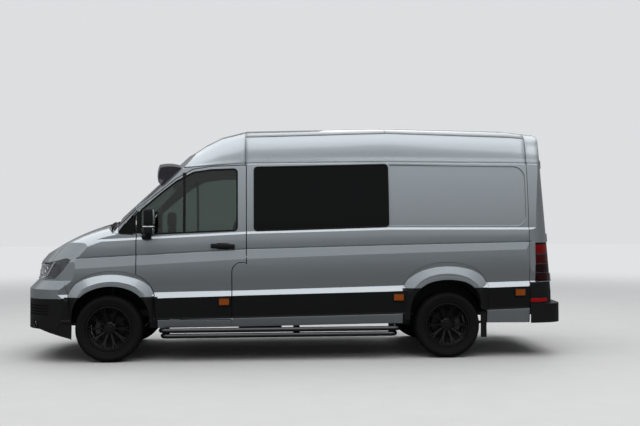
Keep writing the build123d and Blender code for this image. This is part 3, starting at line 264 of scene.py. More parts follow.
def body_paint():
    """Silver metallic paint, black cladding low on the sides, and the grey lining of the inner faces."""
    material, tree, shader = new_material("silver_paint")
    zones = use_group(tree, zone_group)
    grain = use_group(tree, grain_group, Scale=2600.0, Stretch=1.0)
    mask = use_group(tree, film_group, Amount=0.16, Top=1.0)["Mask"]
    clouds = calc(tree, "MULTIPLY", grain["Tone"], 0.12)
    silver = blend_colour(tree, grain["Height"], (0.262, 0.290, 0.310, 1.0), (0.345, 0.380, 0.404, 1.0))
    silver = blend_colour(tree, clouds, silver, (0.225, 0.250, 0.268, 1.0))
    silver = blend_colour(tree, mask, silver, (0.120, 0.116, 0.108, 1.0))
    lining = blend_colour(tree, grain["Tone"], (0.20, 0.20, 0.205, 1.0), (0.28, 0.28, 0.285, 1.0))
    black = blend_colour(tree, grain["Tone"], (0.0048, 0.0050, 0.0056, 1.0), (0.0078, 0.0082, 0.0090, 1.0))
    black = blend_colour(tree, calc(tree, "MULTIPLY", mask, 0.8), black, (0.045, 0.041, 0.036, 1.0))
    colour = blend_colour(tree, zones["Lining"], silver, lining)
    colour = blend_colour(tree, zones["Cladding"], colour, black)
    bare = calc(tree, "MAXIMUM", zones["Cladding"], zones["Lining"])
    rough = blend_value(tree, bare, calc(tree, "MULTIPLY_ADD", grain["Height"], 0.12, 0.26), 0.62)
    rough = calc(tree, "ADD", rough, calc(tree, "MULTIPLY", mask, 0.25))
    coat = blend_value(tree, bare, 0.85, 0.0)
    metal = blend_value(tree, bare, 0.66, 0.0)
    # The bevel eases the shading at edges by 5 mm, and by more up on the roof, which hides its flat faces
    pressed = add(tree, "ShaderNodeMapRange", {0: zones["Height"], 1: 2.10, 2: 2.16, 3: 0.005, 4: 0.090})
    eased = add(tree, "ShaderNodeBevel", {"Radius": pressed.outputs[0]}, samples=6).outputs[0]
    grit = calc(tree, "MULTIPLY", grain["Height"], bare)
    feed(tree, shader, Base_Color=colour, Roughness=rough, Metallic=metal, Specular_IOR_Level=0.16,
         Coat_Weight=coat, Coat_Roughness=0.05, Coat_IOR=1.5, Normal=relief(tree, grit, 0.35, 0.0008, eased))
    return material


def glazing(name, colour, weight, gloss=0.4):
    """Clear or tinted glass with a trace of dust."""
    material, tree, shader = new_material(name)
    mask = use_group(tree, film_group, Amount=0.10, Top=2.6)["Mask"]
    tone = blend_colour(tree, mask, (*colour, 1.0), (*(c * 0.8 for c in colour), 1.0))
    feed(tree, shader, Base_Color=tone, Roughness=calc(tree, "MULTIPLY_ADD", mask, 0.2, 0.012),
         Transmission_Weight=weight, IOR=1.45, Specular_IOR_Level=gloss)
    return material


def lens(name, colour, dark, cells, weight, ribs=220.0):
    """A lamp lens with fine ribs. Each cell has its foot, its top and its share of the bright colour."""
    material, tree, shader = new_material(name)
    place = add(tree, "ShaderNodeTexCoord").outputs["Object"]
    axis = add(tree, "ShaderNodeSeparateXYZ", {0: place}).outputs
    pitch = ribs * 6.28
    along = calc(tree, "ADD", axis[0], axis[1])
    wave, cross = (calc(tree, "SINE", calc(tree, "MULTIPLY", way, pitch)) for way in (axis[2], along))
    mask = 0.0
    for low, high, share in cells:
        lit = calc(tree, "MULTIPLY", within(tree, axis[2], low, high), share)
        mask = calc(tree, "MAXIMUM", mask, lit)
    speck = use_group(tree, grain_group, Scale=160.0, Stretch=1.0)
    tone = blend_colour(tree, mask, (*dark, 1.0), (*colour, 1.0))
    tone = blend_colour(tree, calc(tree, "MULTIPLY", speck["Tone"], 0.2), tone, (*dark, 1.0))
    feed(tree, shader, Base_Color=tone, Roughness=calc(tree, "MULTIPLY_ADD", speck["Height"], 0.06, 0.05),
         Transmission_Weight=weight, IOR=1.49, Specular_IOR_Level=0.06, Coat_Weight=0.04, Coat_Roughness=0.03,
         Normal=relief(tree, calc(tree, "MULTIPLY", wave, cross), 0.25, 0.0012))
    return material


paint = body_paint()
plastic = grained("grained_black_plastic", (0.0085, 0.0088, 0.0096), 0.55, scale=1100.0, film=0.10)
gloss_black = grained("gloss_black_plastic", (0.006, 0.006, 0.0068), 0.20, scale=500.0, depth=0.06, film=0.05,
                      coat=0.4)
rubber = grained("seal_rubber", (0.007, 0.007, 0.0074), 0.72, scale=1500.0, film=0.06)
tyre_rubber = grained("tyre_rubber", (0.0085, 0.0085, 0.0088), 0.80, scale=1300.0, depth=0.4, film=0.05,
                      film_top=0.8, gloss=0.10)
alloy = grained("black_painted_alloy", (0.0062, 0.0062, 0.0068), 0.30, scale=1800.0, depth=0.08, film=0.05,
                film_top=0.8, coat=0.18)
cap_grey = grained("hub_cap_grey", (0.30, 0.31, 0.32), 0.34, depth=0.05, film=0.2, metal=0.7)
# Polished steel of the side tubes and headrest posts. Its base colour is kept far darker than bare steel, as
# a painted reflection of dark surroundings.
steel_painted_dark_reflection = grained("steel_with_painted_dark_reflection", (0.058, 0.060, 0.063), 0.15, stretch=0.04, depth=0.05, film=0.16,
                   film_top=0.5, metal=1.0)
chassis = grained("coated_chassis_steel", (0.018, 0.018, 0.019), 0.56, scale=420.0, film=0.35, metal=0.3)
cast = grained("cast_metal", (0.07, 0.07, 0.073), 0.5, scale=260.0, depth=0.6, distance=0.0015, film=0.3,
               metal=0.8)
deck = grained("load_floor_vinyl", (0.075, 0.077, 0.082), 0.66, scale=380.0, depth=0.5, film_top=1.4)
dash_plastic = grained("soft_dash_plastic", (0.018, 0.0185, 0.020), 0.62, scale=1300.0, film=0.0)
seat_cloth = grained("woven_seat_cloth", (0.040, 0.042, 0.046), 0.92, scale=1700.0, stretch=0.35, depth=0.6,
                     film=0.0, sheen=0.5)
belt_web = grained("belt_webbing", (0.012, 0.012, 0.013), 0.85, scale=2200.0, stretch=0.2, depth=0.6,
                   film=0.0, sheen=0.4)
mirror_face = grained("mirror_face", (0.80, 0.81, 0.82), 0.03, scale=60.0, depth=0.02, film=0.02, metal=1.0,
                      spread=0.02)
chrome = grained("bright_trim", (0.66, 0.67, 0.68), 0.12, depth=0.03, film=0.05, metal=1.0)
plate_face = grained("blank_plate", (0.62, 0.62, 0.60), 0.42, scale=700.0, depth=0.1, film=0.12)
privacy = glazing("privacy_glass", (0.0020, 0.0024, 0.0027), 0.20, gloss=0.05)
smoked = glazing("smoked_acrylic", (0.16, 0.15, 0.17), 0.8)
cab_glass = glazing("cab_glass", (0.205, 0.258, 0.230), 1.0, gloss=0.3)
lamp_glass = glazing("headlamp_glass", (0.86, 0.88, 0.90), 1.0, gloss=0.15)
lamp_black = grained("lamp_bowl_black", (0.010, 0.010, 0.011), 0.25, scale=300.0, depth=0.05, film=0.0,
                     coat=0.5)
lamp_white = grained("lamp_white", (0.86, 0.88, 0.90), 0.20, scale=300.0, depth=0.05, film=0.02, coat=0.6,
                     spread=0.04)
tail_cells = ((0.842, 0.905, 0.10), (0.925, 1.000, 0.03), (1.020, 1.105, 0.30), (1.125, 1.226, 1.0))
one_cell = ((0.0, 2.0, 1.0),)
tail_lens = lens("red_tail_lens", (0.23, 0.0020, 0.0035), (0.0060, 0.0003, 0.0003), tail_cells, 0.10)
marker_lens = lens("orange_marker_lens", (0.42, 0.100, 0.016), (0.20, 0.042, 0.008), one_cell, 0.1, 160.0)
red_reflector = lens("red_reflector", (0.42, 0.008, 0.008), (0.20, 0.004, 0.004), one_cell, 0.0, 260.0)

finishes = {
    paint: ("side_panel_left", "side_panel_right", "sliding_door", "roof", "rear_frame", "rear_door_left",
            "rear_door_right", "cab_frame", "front_door_left", "front_door_right", "bonnet", "fenders",
            "front_bumper", "cowl"),
    privacy: ("side_windows", "rear_window_left", "rear_window_right"),
    cab_glass: ("door_window_left", "door_window_right", "windscreen"),
    tail_lens: ("tail_lamps",),
    marker_lens: ("marker_lamps",),
    lamp_glass: ("headlamps",),
    plastic: ("rear_bumper", "front_bumper_lower", "mirror_left", "mirror_right", "mud_flaps",
              "front_wheel_liners", "rear_wheel_boxes"),
    gloss_black: ("grille",),
    smoked: ("sun_visor",),
    dash_plastic: ("dashboard", "steering_wheel"),
    deck: ("floor",),
    chassis: ("front_suspension", "knuckle_left", "knuckle_right", "rear_axle", "leaf_springs", "fuel_tank"),
    steel_painted_dark_reflection: ("side_tubes",),
    alloy: ["wheel_" + name for name in wheel_places],
    tyre_rubber: ["tyre_" + name for name in wheel_places],
    seat_cloth: ("cab_seats",),
    cast: ("engine_block",),
}
for material, names in finishes.items():
    for name in names:
        slots = nodes[name].data.materials
        if not len(slots):
            slots.append(material)
        for place in range(len(slots)):
            slots[place] = material


# Mesh building

def place_piece(name, mesh, material, body, crease=32.0):
    """A finished mesh as a piece that moves with a body and takes a finish."""
    mesh.materials.clear()
    mesh.materials.append(material)
    for face in mesh.polygons:
        face.material_index = 0
        face.use_smooth = True
    mesh.set_sharp_from_angle(angle=math.radians(crease))
    piece = bpy.data.objects.new(name, mesh)
    scene.collection.objects.link(piece)
    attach(piece, body)
    return piece


def plain_mesh(name, shape):
    """A mesh from a bmesh, as it is."""
    mesh = bpy.data.meshes.new(name)
    shape.to_mesh(mesh)
    shape.free()
    return mesh


def shape_mesh(name, shape):
    """A mesh from a bmesh, closed where its points meet and with its faces outwards."""
    bmesh.ops.remove_doubles(shape, verts=shape.verts, dist=0.00002)
    bmesh.ops.recalc_face_normals(shape, faces=shape.faces)
    return plain_mesh(name, shape)


def shape_piece(name, shape, material, body="body", crease=32.0):
    """A piece made straight from a bmesh."""
    return place_piece(name, shape_mesh(name, shape), material, body, crease)


def strip(shape, path, normals, section, closed=False):
    """A section carried along a path. Each section point is a distance across it and one off the surface."""
    count = len(path)
    rings = []
    for place, (point, normal) in enumerate(zip(path, normals)):
        before = path[place - 1] if place or closed else point
        after = path[(place + 1) % count] if place < count - 1 or closed else point
        along = (after - before).normalized()
        across = normal.cross(along).normalized()
        rings.append([shape.verts.new(point + across * a + normal * b) for a, b in section])
    pairs = list(zip(rings, rings[1:])) + ([(rings[-1], rings[0])] if closed else [])
    for near, far in pairs:
        for side in range(len(section)):
            turn = (side + 1) % len(section)
            shape.faces.new((near[side], near[turn], far[turn], far[side]))
    if not closed:
        shape.faces.new(rings[0])
        shape.faces.new(rings[-1][::-1])


def circle(count):
    """The cosine and sine of even steps round a full turn."""
    angles = [2 * math.pi * k / count for k in range(count)]
    return [(math.cos(a), math.sin(a)) for a in angles]


def tube_section(radius, sides=10):
    """A round section."""
    return [(radius * a, radius * b) for a, b in circle(sides)]


def pad_section(width, low, high):
    """A flat section with softened upper edges."""
    half, edge = width / 2, 0.002
    return [(-half, low), (half, low), (half, high - edge), (half - edge, high), (edge - half, high),
            (-half, high - edge)]


def turned(shape, profile, origin, axis, steps):
    """A profile of distances along and off an axis, turned round it."""
    axis = Vector(axis).normalized()
    side = axis.orthogonal().normalized()
    other = axis.cross(side)
    rings = []
    for a, b in circle(steps):
        out = side * a + other * b
        rings.append([shape.verts.new(Vector(origin) + axis * along + out * r) for along, r in profile])
    for step in range(steps):
        near, far = rings[step], rings[(step + 1) % steps]
        for k in range(len(profile) - 1):
            shape.faces.new((near[k], near[k + 1], far[k + 1], far[k]))


def rounded_box(shape, low, high, radius, steps=4):
    """A box with all its edges rounded by one radius."""
    centre = (Vector(low) + Vector(high)) / 2
    half = (Vector(high) - Vector(low)) / 2
    made = bmesh.ops.create_cube(shape, size=2.0)["verts"]
    for vert in made:
        vert.co = Vector(v * h for v, h in zip(vert.co, half))
    edges = list({edge for vert in made for edge in vert.link_edges})
    made = bmesh.ops.bevel(shape, geom=edges, offset=radius, segments=steps, profile=0.5, affect="EDGES")
    for vert in {vert for face in made["faces"] for vert in face.verts}:
        vert.co = centre + vert.co


def rounded_boxes(*rows):
    """A bmesh of rounded boxes. Each row has a low corner, a high corner, the radius and its steps."""
    shape = bmesh.new()
    for row in rows:
        rounded_box(shape, *row)
    return shape


def on_side(shape, side):
    """A shape made for the left side, mirrored where it goes to the right."""
    if side < 0:
        for vert in shape.verts:
            vert.co.y = -vert.co.y
        bmesh.ops.reverse_faces(shape, faces=shape.faces)
    return shape


def skin(*names):
    """A tree for finding where a ray meets some of the van's solids."""
    verts, faces = [], []
    for name in names:
        mesh = nodes[name].data
        base = len(verts)
        verts += [vert.co.copy() for vert in mesh.vertices]
        faces += [[base + corner for corner in face.vertices] for face in mesh.polygons]
    return BVHTree.FromPolygons(verts, faces)


def land(tree, point, towards, lift=0.0):
    """Where a ray through a point meets the skin, lifted off it, and the skin's normal there."""
    towards = Vector(towards).normalized()
    found, normal, _, _ = tree.ray_cast(Vector(point) - towards * 3.0, towards)
    if found is None:
        return None, None
    if normal.dot(towards) > 0:
        normal = -normal
    return found + normal * lift, normal


def hull(points):
    """The convex outline of some flat points, in order."""
    points = sorted(set(points))
    halves = []
    for ordered in (points, points[::-1]):
        line = []
        for point in ordered:
            while len(line) > 1 and ((line[-1][0] - line[-2][0]) * (point[1] - line[-2][1]) -
                                     (line[-1][1] - line[-2][1]) * (point[0] - line[-2][0])) <= 1e-9:
                line.pop()
            line.append(point)
        halves.append(line[:-1])
    return halves[0] + halves[1]


def densify(points, step, closed=True):
    """Points along a line of straight runs, no further apart than a step."""
    line = []
    pairs = zip(points, points[1:] + points[:1]) if closed else zip(points, points[1:])
    for start, end in pairs:
        start, end = Vector(start), Vector(end)
        parts = max(1, math.ceil((end - start).length / step))
        line += [start.lerp(end, k / parts) for k in range(parts)]
    return line if closed else line + [Vector(points[-1])]


def sweep_on(name, tree, points, towards, section, material, body="body", closed=False,
             lift=0.0, step=0.02):
    """A strip along a line of places that are dropped on a skin."""
    path, normals = [], []
    for point in densify(points, step, closed):
        found, normal = land(tree, point, towards, lift)
        if found is not None:
            path.append(found)
            normals.append(normal)
    shape = bmesh.new()
    strip(shape, path, normals, section, closed)
    return shape_piece(name, shape, material, body, crease=40.0)


# Window seals

def pane_rim(pane, keep, towards, tree, spread):
    """The path round a window pane, a little outside it, on the skin that holds it."""
    towards = Vector(towards).normalized()
    across = Vector((0, 1, 0)) if abs(towards.y) < 0.5 else Vector((1, 0, 0))
    across = (across - towards * across.dot(towards)).normalized()
    upward = towards.cross(across)
    flat = [(v.co.dot(across), v.co.dot(upward)) for v in nodes[pane].data.vertices if keep(v.co)]
    flat = [(round(a, 4), round(b, 4)) for a, b in flat]
    centre = Vector((sum(a for a, _ in flat), sum(b for _, b in flat))) / len(flat)
    outline = densify(hull(flat), 0.03)
    path, normals = [], []
    for place, point in enumerate(outline):
        run = outline[(place + 1) % len(outline)] - outline[place - 1]
        off = Vector((run.y, -run.x)).normalized()
        if off.dot(point - centre) < 0:
            off = -off
        moved = point + off * spread
        found, normal = land(tree, across * moved.x + upward * moved.y, towards)
        if found is not None:
            path.append(found)
            normals.append(normal)
    smooth = []
    for place in range(len(normals)):
        near = [normals[(place + k) % len(normals)] for k in (-2, -1, 0, 1, 2)]
        smooth.append(sum(near, Vector()).normalized())
    return path, smooth


def seal(name, pane, keep, towards, panels, body, width, spread):
    """Black rubber round one pane, on the panels that hold it. Its points are those that keep takes."""
    path, normals = pane_rim(pane, keep, towards, skin(*panels), spread)
    shape = bmesh.new()
    strip(shape, path, normals, pad_section(width, -0.006, 0.0035), True)
    shape_piece(name, shape, rubber, body, crease=50.0)


def window_seals():
    """Seals of the doors' windows, the side and corner windows, the rear windows and the windscreen."""
    for side, hand in hands:
        seal("door_seal_" + hand, "door_window_" + hand, lambda p: True, (0, -side, 0),
             ("front_door_" + hand,), "door_" + hand, 0.018, 0.004)
    for side, hand in hands:
        panel = "side_panel_left" if side > 0 else "sliding_door"
        seal("side_seal_" + hand, "side_windows", lambda p: p.y * side > 0 and p.x < 1.0, (0, -side, 0),
             (panel,), "body", 0.016, 0.003)
    for side, hand in hands:
        seal("corner_seal_" + hand, "side_windows", lambda p: p.y * side > 0 and p.x > 1.0, (0, -side, 0),
             ("cab_frame", "fenders"), "body", 0.012, 0.002)
    for side, hand in hands:
        seal("rear_seal_" + hand, "rear_window_" + hand, lambda p: True, (1, 0, 0), ("rear_door_" + hand,),
             "rear_" + hand, 0.018, 0.004)
    seal("screen_seal", "windscreen", lambda p: True, (-0.676, 0, -0.737), ("cab_frame", "cowl", "fenders"),
         "body", 0.026, 0.004)


window_seals()


# Wheels and tyres

tread_steps = 56


def scatter_blocks(name, base, block, count, material):
    """Copies of one block set round the wheel's axle by a Geometry Nodes tree, as a plain mesh."""
    tree = bpy.data.node_groups.new(name, "GeometryNodeTree")
    tree.interface.new_socket("Geometry", in_out="INPUT", socket_type="NodeSocketGeometry")
    tree.interface.new_socket("Block", in_out="INPUT", socket_type="NodeSocketObject")
    tree.interface.new_socket("Count", in_out="INPUT", socket_type="NodeSocketInt").default_value = count
    tree.interface.new_socket("Geometry", in_out="OUTPUT", socket_type="NodeSocketGeometry")
    given, result = tree.nodes.new("NodeGroupInput").outputs, tree.nodes.new("NodeGroupOutput")
    line = add(tree, "GeometryNodeMeshLine", {"Count": given["Count"], "Offset": (0.0, 0.0, 0.0)},
               mode="OFFSET")
    shape = add(tree, "GeometryNodeObjectInfo", {"Object": given["Block"]}).outputs["Geometry"]
    share = calc(tree, "DIVIDE", add(tree, "GeometryNodeInputIndex").outputs[0], given["Count"])
    spin = add(tree, "ShaderNodeCombineXYZ", {1: calc(tree, "MULTIPLY", share, 2 * math.pi)}).outputs[0]
    copies = add(tree, "GeometryNodeInstanceOnPoints",
                 {"Points": line.outputs[0], "Instance": shape, "Rotation": spin})
    joined = add(tree, "GeometryNodeJoinGeometry")
    real = add(tree, "GeometryNodeRealizeInstances", {"Geometry": joined.outputs[0]}).outputs[0]
    tree.links.new(copies.outputs[0], joined.inputs[0])
    tree.links.new(given["Geometry"], joined.inputs[0])
    painted = add(tree, "GeometryNodeSetMaterial", {"Geometry": real, "Material": material}).outputs[0]
    tree.links.new(painted, result.inputs[0])
    holder = bpy.data.objects.new(name, base)
    pattern = bpy.data.objects.new(name + "_block", block)
    for made in (holder, pattern):
        scene.collection.objects.link(made)
    modifier = holder.modifiers.new("blocks", "NODES")
    modifier.node_group = tree
    settings = {"Block": pattern, "Count": count}
    for item in tree.interface.items_tree:
        if item.in_out == "INPUT" and item.name in settings:
            modifier[item.identifier] = settings[item.name]
    graph = bpy.context.evaluated_depsgraph_get()
    mesh = bpy.data.meshes.new_from_object(holder.evaluated_get(graph), depsgraph=graph)
    for made in (holder, pattern):
        bpy.data.objects.remove(made)
    return mesh


def carcass():
    """The tyre without its tread blocks: a mould line, a rim guard, plain side bands and groove floors."""
    side = [(0.238, 0.083), (0.247, 0.098), (0.254, 0.1065), (0.262, 0.1085), (0.266, 0.1065),
            (0.285, 0.1115), (0.2885, 0.1135), (0.292, 0.1130), (0.306, 0.1155), (0.3085, 0.1170),
            (0.312, 0.1165), (0.326, 0.1135), (0.337, 0.1075), (0.3435, 0.0975)]
    crown = [(0.3475, 0.085), (0.3485, 0.0555), (0.3445, 0.0535), (0.3445, 0.0455), (0.3492, 0.0435),
             (0.3498, 0.0165), (0.3455, 0.0145), (0.3455, 0.0065), (0.3500, 0.0045)]
    half = side + crown
    outline = half + [(radius, -across) for radius, across in reversed(half)]
    inner = [(0.236, -0.075), (0.236, 0.075)]
    profile = [(across, radius) for radius, across in outline + inner]
    shape = bmesh.new()
    turned(shape, profile + profile[:1], (0, 0, 0), (0, 1, 0), 96)
    return shape_mesh("tyre_carcass", shape)


def tread_block():
    """One step of the tread: shoulder, middle and centre blocks, swept back and cut by fine slits."""
    shape = bmesh.new()
    turn = 2 * math.pi / tread_steps
    # Outer and inner edge, foot and top radius, share of the step that is filled, and lean
    rows = ((0.0995, 0.0580, 0.3450, 0.3535, 0.80, 0.16), (0.0420, 0.0185, 0.3478, 0.3546, 0.74, -0.30),
            (0.0030, -0.0030, 0.3485, 0.3550, 0.88, 0.0))
    for outer, inner, low, high, share, lean in rows:
        paired = inner > 0
        span = turn * share * (0.44 if paired else 1.0)
        for way in (1, -1) if paired else (1,):
            for start in (0.0, 0.5 * turn) if paired else (0.0,):
                corners = []
                for angle in (start, start + span):
                    for across in (outer, inner):
                        swing = angle + lean * turn * (across - inner) / max(outer - inner, 0.001)
                        for radius in (low, high if across < 0.09 else high - 0.0035):
                            corners.append(shape.verts.new((radius * math.sin(swing), across * way,
                                                            radius * math.cos(swing))))
                a, b, c, d, e, f, g, h = corners
                rings = ((b, d, h, f), (a, e, g, c), (a, b, f, e), (c, g, h, d), (a, c, d, b), (e, f, h, g))
                for ring in rings:
                    shape.faces.new(ring)
    bmesh.ops.recalc_face_normals(shape, faces=shape.faces)
    return plain_mesh("tread_block", shape)


def tyres():
    """Four tyres with moulded side bands and a road tread."""
    pattern = scatter_blocks("tread", carcass(), tread_block(), tread_steps, tyre_rubber)
    for name, (along, side) in wheel_places.items():
        mesh = pattern.copy()
        mesh.transform(Matrix.Translation((along, side * half_track, tyre_radius)))
        piece = place_piece("road_tyre_" + name, mesh, tyre_rubber, "spin_" + name, crease=40.0)
        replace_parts(piece, "tyre_" + name)


def wheel_details():
    """Six bolts, a grey centre cap and a raised edge round the rim, on every wheel."""
    bolt_circle = 0.062
    bolt = [(-0.012, 0.0), (-0.012, 0.0125), (0.006, 0.0125), (0.009, 0.0100), (0.011, 0.0060), (0.0115, 0.0)]
    hub = [(0.0, 0.0), (0.0, 0.0345), (0.004, 0.0345), (0.0075, 0.0325), (0.0085, 0.029), (0.0078, 0.0265),
           (0.0098, 0.022), (0.0112, 0.012), (0.0115, 0.0)]
    edge = [(0.0875, 0.2395), (0.0905, 0.2425), (0.0935, 0.2415), (0.0940, 0.2385), (0.0915, 0.2362),
            (0.0885, 0.2370), (0.0875, 0.2395)]
    for name, (along, side) in wheel_places.items():
        axis, body = (0, side, 0), "spin_" + name
        bolts, cap, rim = bmesh.new(), bmesh.new(), bmesh.new()
        for step in range(6):
            angle = math.radians(60 * step + 30)
            spot = (along + bolt_circle * math.cos(angle), side * (half_track + 0.024),
                    tyre_radius + bolt_circle * math.sin(angle))
            turned(bolts, bolt, spot, axis, 6)
        turned(cap, hub, (along, side * (half_track + 0.030), tyre_radius), axis, 40)
        turned(rim, edge, (along, side * half_track, tyre_radius), axis, 96)
        shape_piece("wheel_bolts_" + name, bolts, chassis, body)
        shape_piece("hub_cap_" + name, cap, cap_grey, body, crease=25.0)
        shape_piece("rim_edge_" + name, rim, alloy, body)


tyres()
wheel_details()


# Lamps

def inner_copy(mesh, depth, thickness):
    """A shell whose front lies behind the lamp's skin by a depth."""
    shape = bmesh.new()
    shape.from_mesh(mesh)
    shape.normal_update()
    moved = [(vert, vert.co - vert.normal * depth) for vert in shape.verts]
    for vert, place in moved:
        vert.co = place
    bmesh.ops.solidify(shape, geom=shape.faces[:], thickness=thickness)
    bmesh.ops.recalc_face_normals(shape, faces=shape.faces)
    return plain_mesh("lamp_shell", shape)


def projectors(hand, tree, across, inward):
    """Two bright rings with clear domes, inside a headlamp."""
    for place, (x, z, radius) in enumerate(((2.640, 0.985, 0.034), (2.760, 0.965, 0.036))):
        found, normal = land(tree, (x, across, z), inward, -0.030)
        ring, dome = bmesh.new(), bmesh.new()
        turned(ring, [(0.0, radius), (0.012, radius + 0.001), (0.015, radius - 0.002),
                      (0.012, radius - 0.005), (0.002, radius - 0.006), (0.0, radius)], found, normal, 32)
        turned(dome, [(0.0, 0.0), (0.0, radius - 0.007), (0.006, radius - 0.009), (0.013, radius - 0.018),
                      (0.016, 0.0)], found, normal, 32)
        shape_piece("lamp_ring_%s_%d" % (hand, place), ring, chrome)
        shape_piece("lamp_dome_%s_%d" % (hand, place), dome, lamp_glass)


def headlamps():
    """A clear lens over a dark bowl, with a strip along its rear edge, bright trims and projectors."""
    tree = skin("headlamps")
    for side, hand in hands:
        shape = bmesh.new()
        shape.from_mesh(nodes["headlamps"].data)
        bmesh.ops.remove_doubles(shape, verts=shape.verts, dist=0.00005)
        aim = Vector((0.6, 0.78 * side, 0.15)).normalized()
        spare = [f for f in shape.faces if f.normal.dot(aim) < 0.4 or f.calc_center_median().y * side < 0]
        bmesh.ops.delete(shape, geom=spare, context="FACES")
        patch = plain_mesh("lamp_patch", shape)
        clear, dark = inner_copy(patch, 0.0003, 0.003), inner_copy(patch, 0.026, 0.030)
        place_piece("headlamp_lens_" + hand, clear, lamp_glass, "body")
        bowl = place_piece("headlamp_bowl_" + hand, dark, lamp_black, "body")
        if side > 0:
            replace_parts(bowl, "headlamps")
        across, inward = 0.6 * side, (-0.45, -0.89 * side, 0.0)
        # Name, places along the van and up, section, finish, slot and distance off the lamp's skin
        rows = (
            ("daylight_strip_", ((2.452, 1.082), (2.520, 1.010), (2.590, 0.932), (2.640, 0.905)),
             tube_section(0.0085), lamp_white, "lamp_lens", -0.014),
            ("lamp_top_trim_", ((2.500, 1.088), (2.600, 1.062), (2.720, 1.040), (2.800, 1.038)),
             pad_section(0.016, -0.004, 0.006), chrome, "trim_plastic", -0.020),
            ("lamp_foot_trim_", ((2.660, 0.912), (2.740, 0.896), (2.860, 0.890)),
             pad_section(0.020, -0.004, 0.006), chrome, "trim_plastic", -0.020),
        )
        for name, places, section, material, slot, lift in rows:
            points = [(x, across, z) for x, z in places]
            sweep_on(name + hand, tree, points, inward, section, material, lift=lift)
        projectors(hand, tree, across, inward)


def front_trim():
    """Bright bars across the grille, and the fog lamps."""
    grille, bumper = skin("grille"), skin("front_bumper_lower")
    for place, height in enumerate((1.034, 0.960, 0.884)):
        points = [(3.2, y, height) for y in (-0.500, 0.0, 0.500)]
        sweep_on("grille_bar_%d" % place, grille, points, (-1, 0, 0), pad_section(0.014, -0.006, 0.006),
                 chrome, step=0.04)
    for side, hand in hands:
        found, _ = land(bumper, (3.2, 0.770 * side, 0.400), (-1, 0, 0))
        ring, glass = bmesh.new(), bmesh.new()
        turned(ring, [(-0.004, 0.040), (0.008, 0.0405), (0.011, 0.037), (0.008, 0.033), (-0.004, 0.033),
                      (-0.004, 0.040)], found, (1, 0, 0), 36)
        turned(glass, [(-0.004, 0.0), (-0.004, 0.033), (0.005, 0.033), (0.009, 0.024), (0.011, 0.010),
                       (0.0115, 0.0)], found, (1, 0, 0), 36)
        shape_piece("fog_ring_" + hand, ring, gloss_black)
        shape_piece("fog_lens_" + hand, glass, lamp_white)


def rear_lamps():
    """Dark dividers on the tail lamps, and red reflectors in the bumper."""
    lamps, bumper = skin("tail_lamps"), skin("rear_bumper")
    for side, hand in hands:
        inward = (0.55, -0.83 * side, 0.0)
        for place, height in enumerate((1.0095, 1.114, 0.914)):
            points = [(-2.55, 1.02 * side, height), (-2.95, 0.76 * side, height)]
            sweep_on("lamp_divider_%s_%d" % (hand, place), lamps, points, inward,
                     pad_section(0.012, -0.010, 0.0015), gloss_black, step=0.015)
        points = [(-2.600, 1.05 * side, 0.618), (-2.780, 0.95 * side, 0.618)]
        sweep_on("rear_reflector_" + hand, bumper, points, inward, pad_section(0.040, -0.012, 0.004),
                 red_reflector, step=0.015)


def marker_lamps():
    """Three marker lamps on each side, cut from the mesh that they share, each in a black frame."""
    panels = {"left": ("side_panel_left", "front_door_left", "cab_frame"),
              "right": ("side_panel_right", "sliding_door", "front_door_right", "cab_frame")}
    for side, hand in hands:
        panel = skin(*panels[hand])
        for place, along in enumerate((0.775, -1.103, -2.440)):
            body = "body" if place else "door_" + hand
            shape = bmesh.new()
            shape.from_mesh(nodes["marker_lamps"].data)
            spare = [v for v in shape.verts if v.co.y * side < 0 or abs(v.co.x - along) > 0.08]
            bmesh.ops.delete(shape, geom=spare, context="VERTS")
            xs, zs = [v.co.x for v in shape.verts], [v.co.z for v in shape.verts]
            lamp = shape_piece("marker_lamp_%s_%d" % (hand, place), shape, marker_lens, body)
            if place == 1 and side > 0:
                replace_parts(lamp, "marker_lamps")
            middle_x, middle_z = (min(xs) + max(xs)) / 2, (min(zs) + max(zs)) / 2
            ring = []
            for x, z in ((min(xs), min(zs)), (max(xs), min(zs)), (max(xs), max(zs)), (min(xs), max(zs))):
                ring.append((middle_x + (x - middle_x) * 1.10, 1.2 * side, middle_z + (z - middle_z) * 1.15))
            sweep_on("marker_frame_%s_%d" % (hand, place), panel, ring, (0, -side, 0),
                     pad_section(0.012, -0.004, 0.009), plastic, body, closed=True, step=0.03)


def rear_door_fittings():
    """The blank plate in its recess, and the pull."""
    points = [(-3.2, 0.124, 0.9675), (-3.2, 0.636, 0.9675)]
    sweep_on("rear_plate", skin("rear_door_left"), points, (1, 0, 0), pad_section(0.108, -0.002, 0.002),
             plate_face, "rear_left", step=0.032)
    pull = rounded_boxes(((-2.9015, -0.254, 1.114), (-2.862, -0.036, 1.174), 0.012))
    shape_piece("rear_door_pull", pull, plastic, "rear_right")


# Doors and sides

def door_handles():
    """Black grips over the front doors' handles, the sliding door's grip and its rail."""
    slope, middle = math.atan2(0.008, 0.248), 0.788
    for side, hand in hands:
        near, far = sorted((0.972 * side, 1.0135 * side))
        grip = rounded_boxes(((0.659, near, 1.2015), (0.917, far, 1.2525), 0.015, 5))
        for vert in grip.verts:
            vert.co.z += (vert.co.x - middle) * slope
        shape_piece("door_grip_" + hand, grip, plastic, "door_" + hand)
    grip = rounded_boxes(((0.330, -1.0150, 1.176), (0.500, -0.972, 1.226), 0.015, 5))
    shape_piece("slide_grip", grip, plastic)
    points = [(-0.735, -1.2, 1.2275), (-1.010, -1.2, 1.2335), (-2.400, -1.2, 1.2575)]
    sweep_on("slide_rail", skin("side_panel_right"), points, (0, 1, 0), pad_section(0.020, -0.006, 0.008),
             gloss_black, step=0.06)


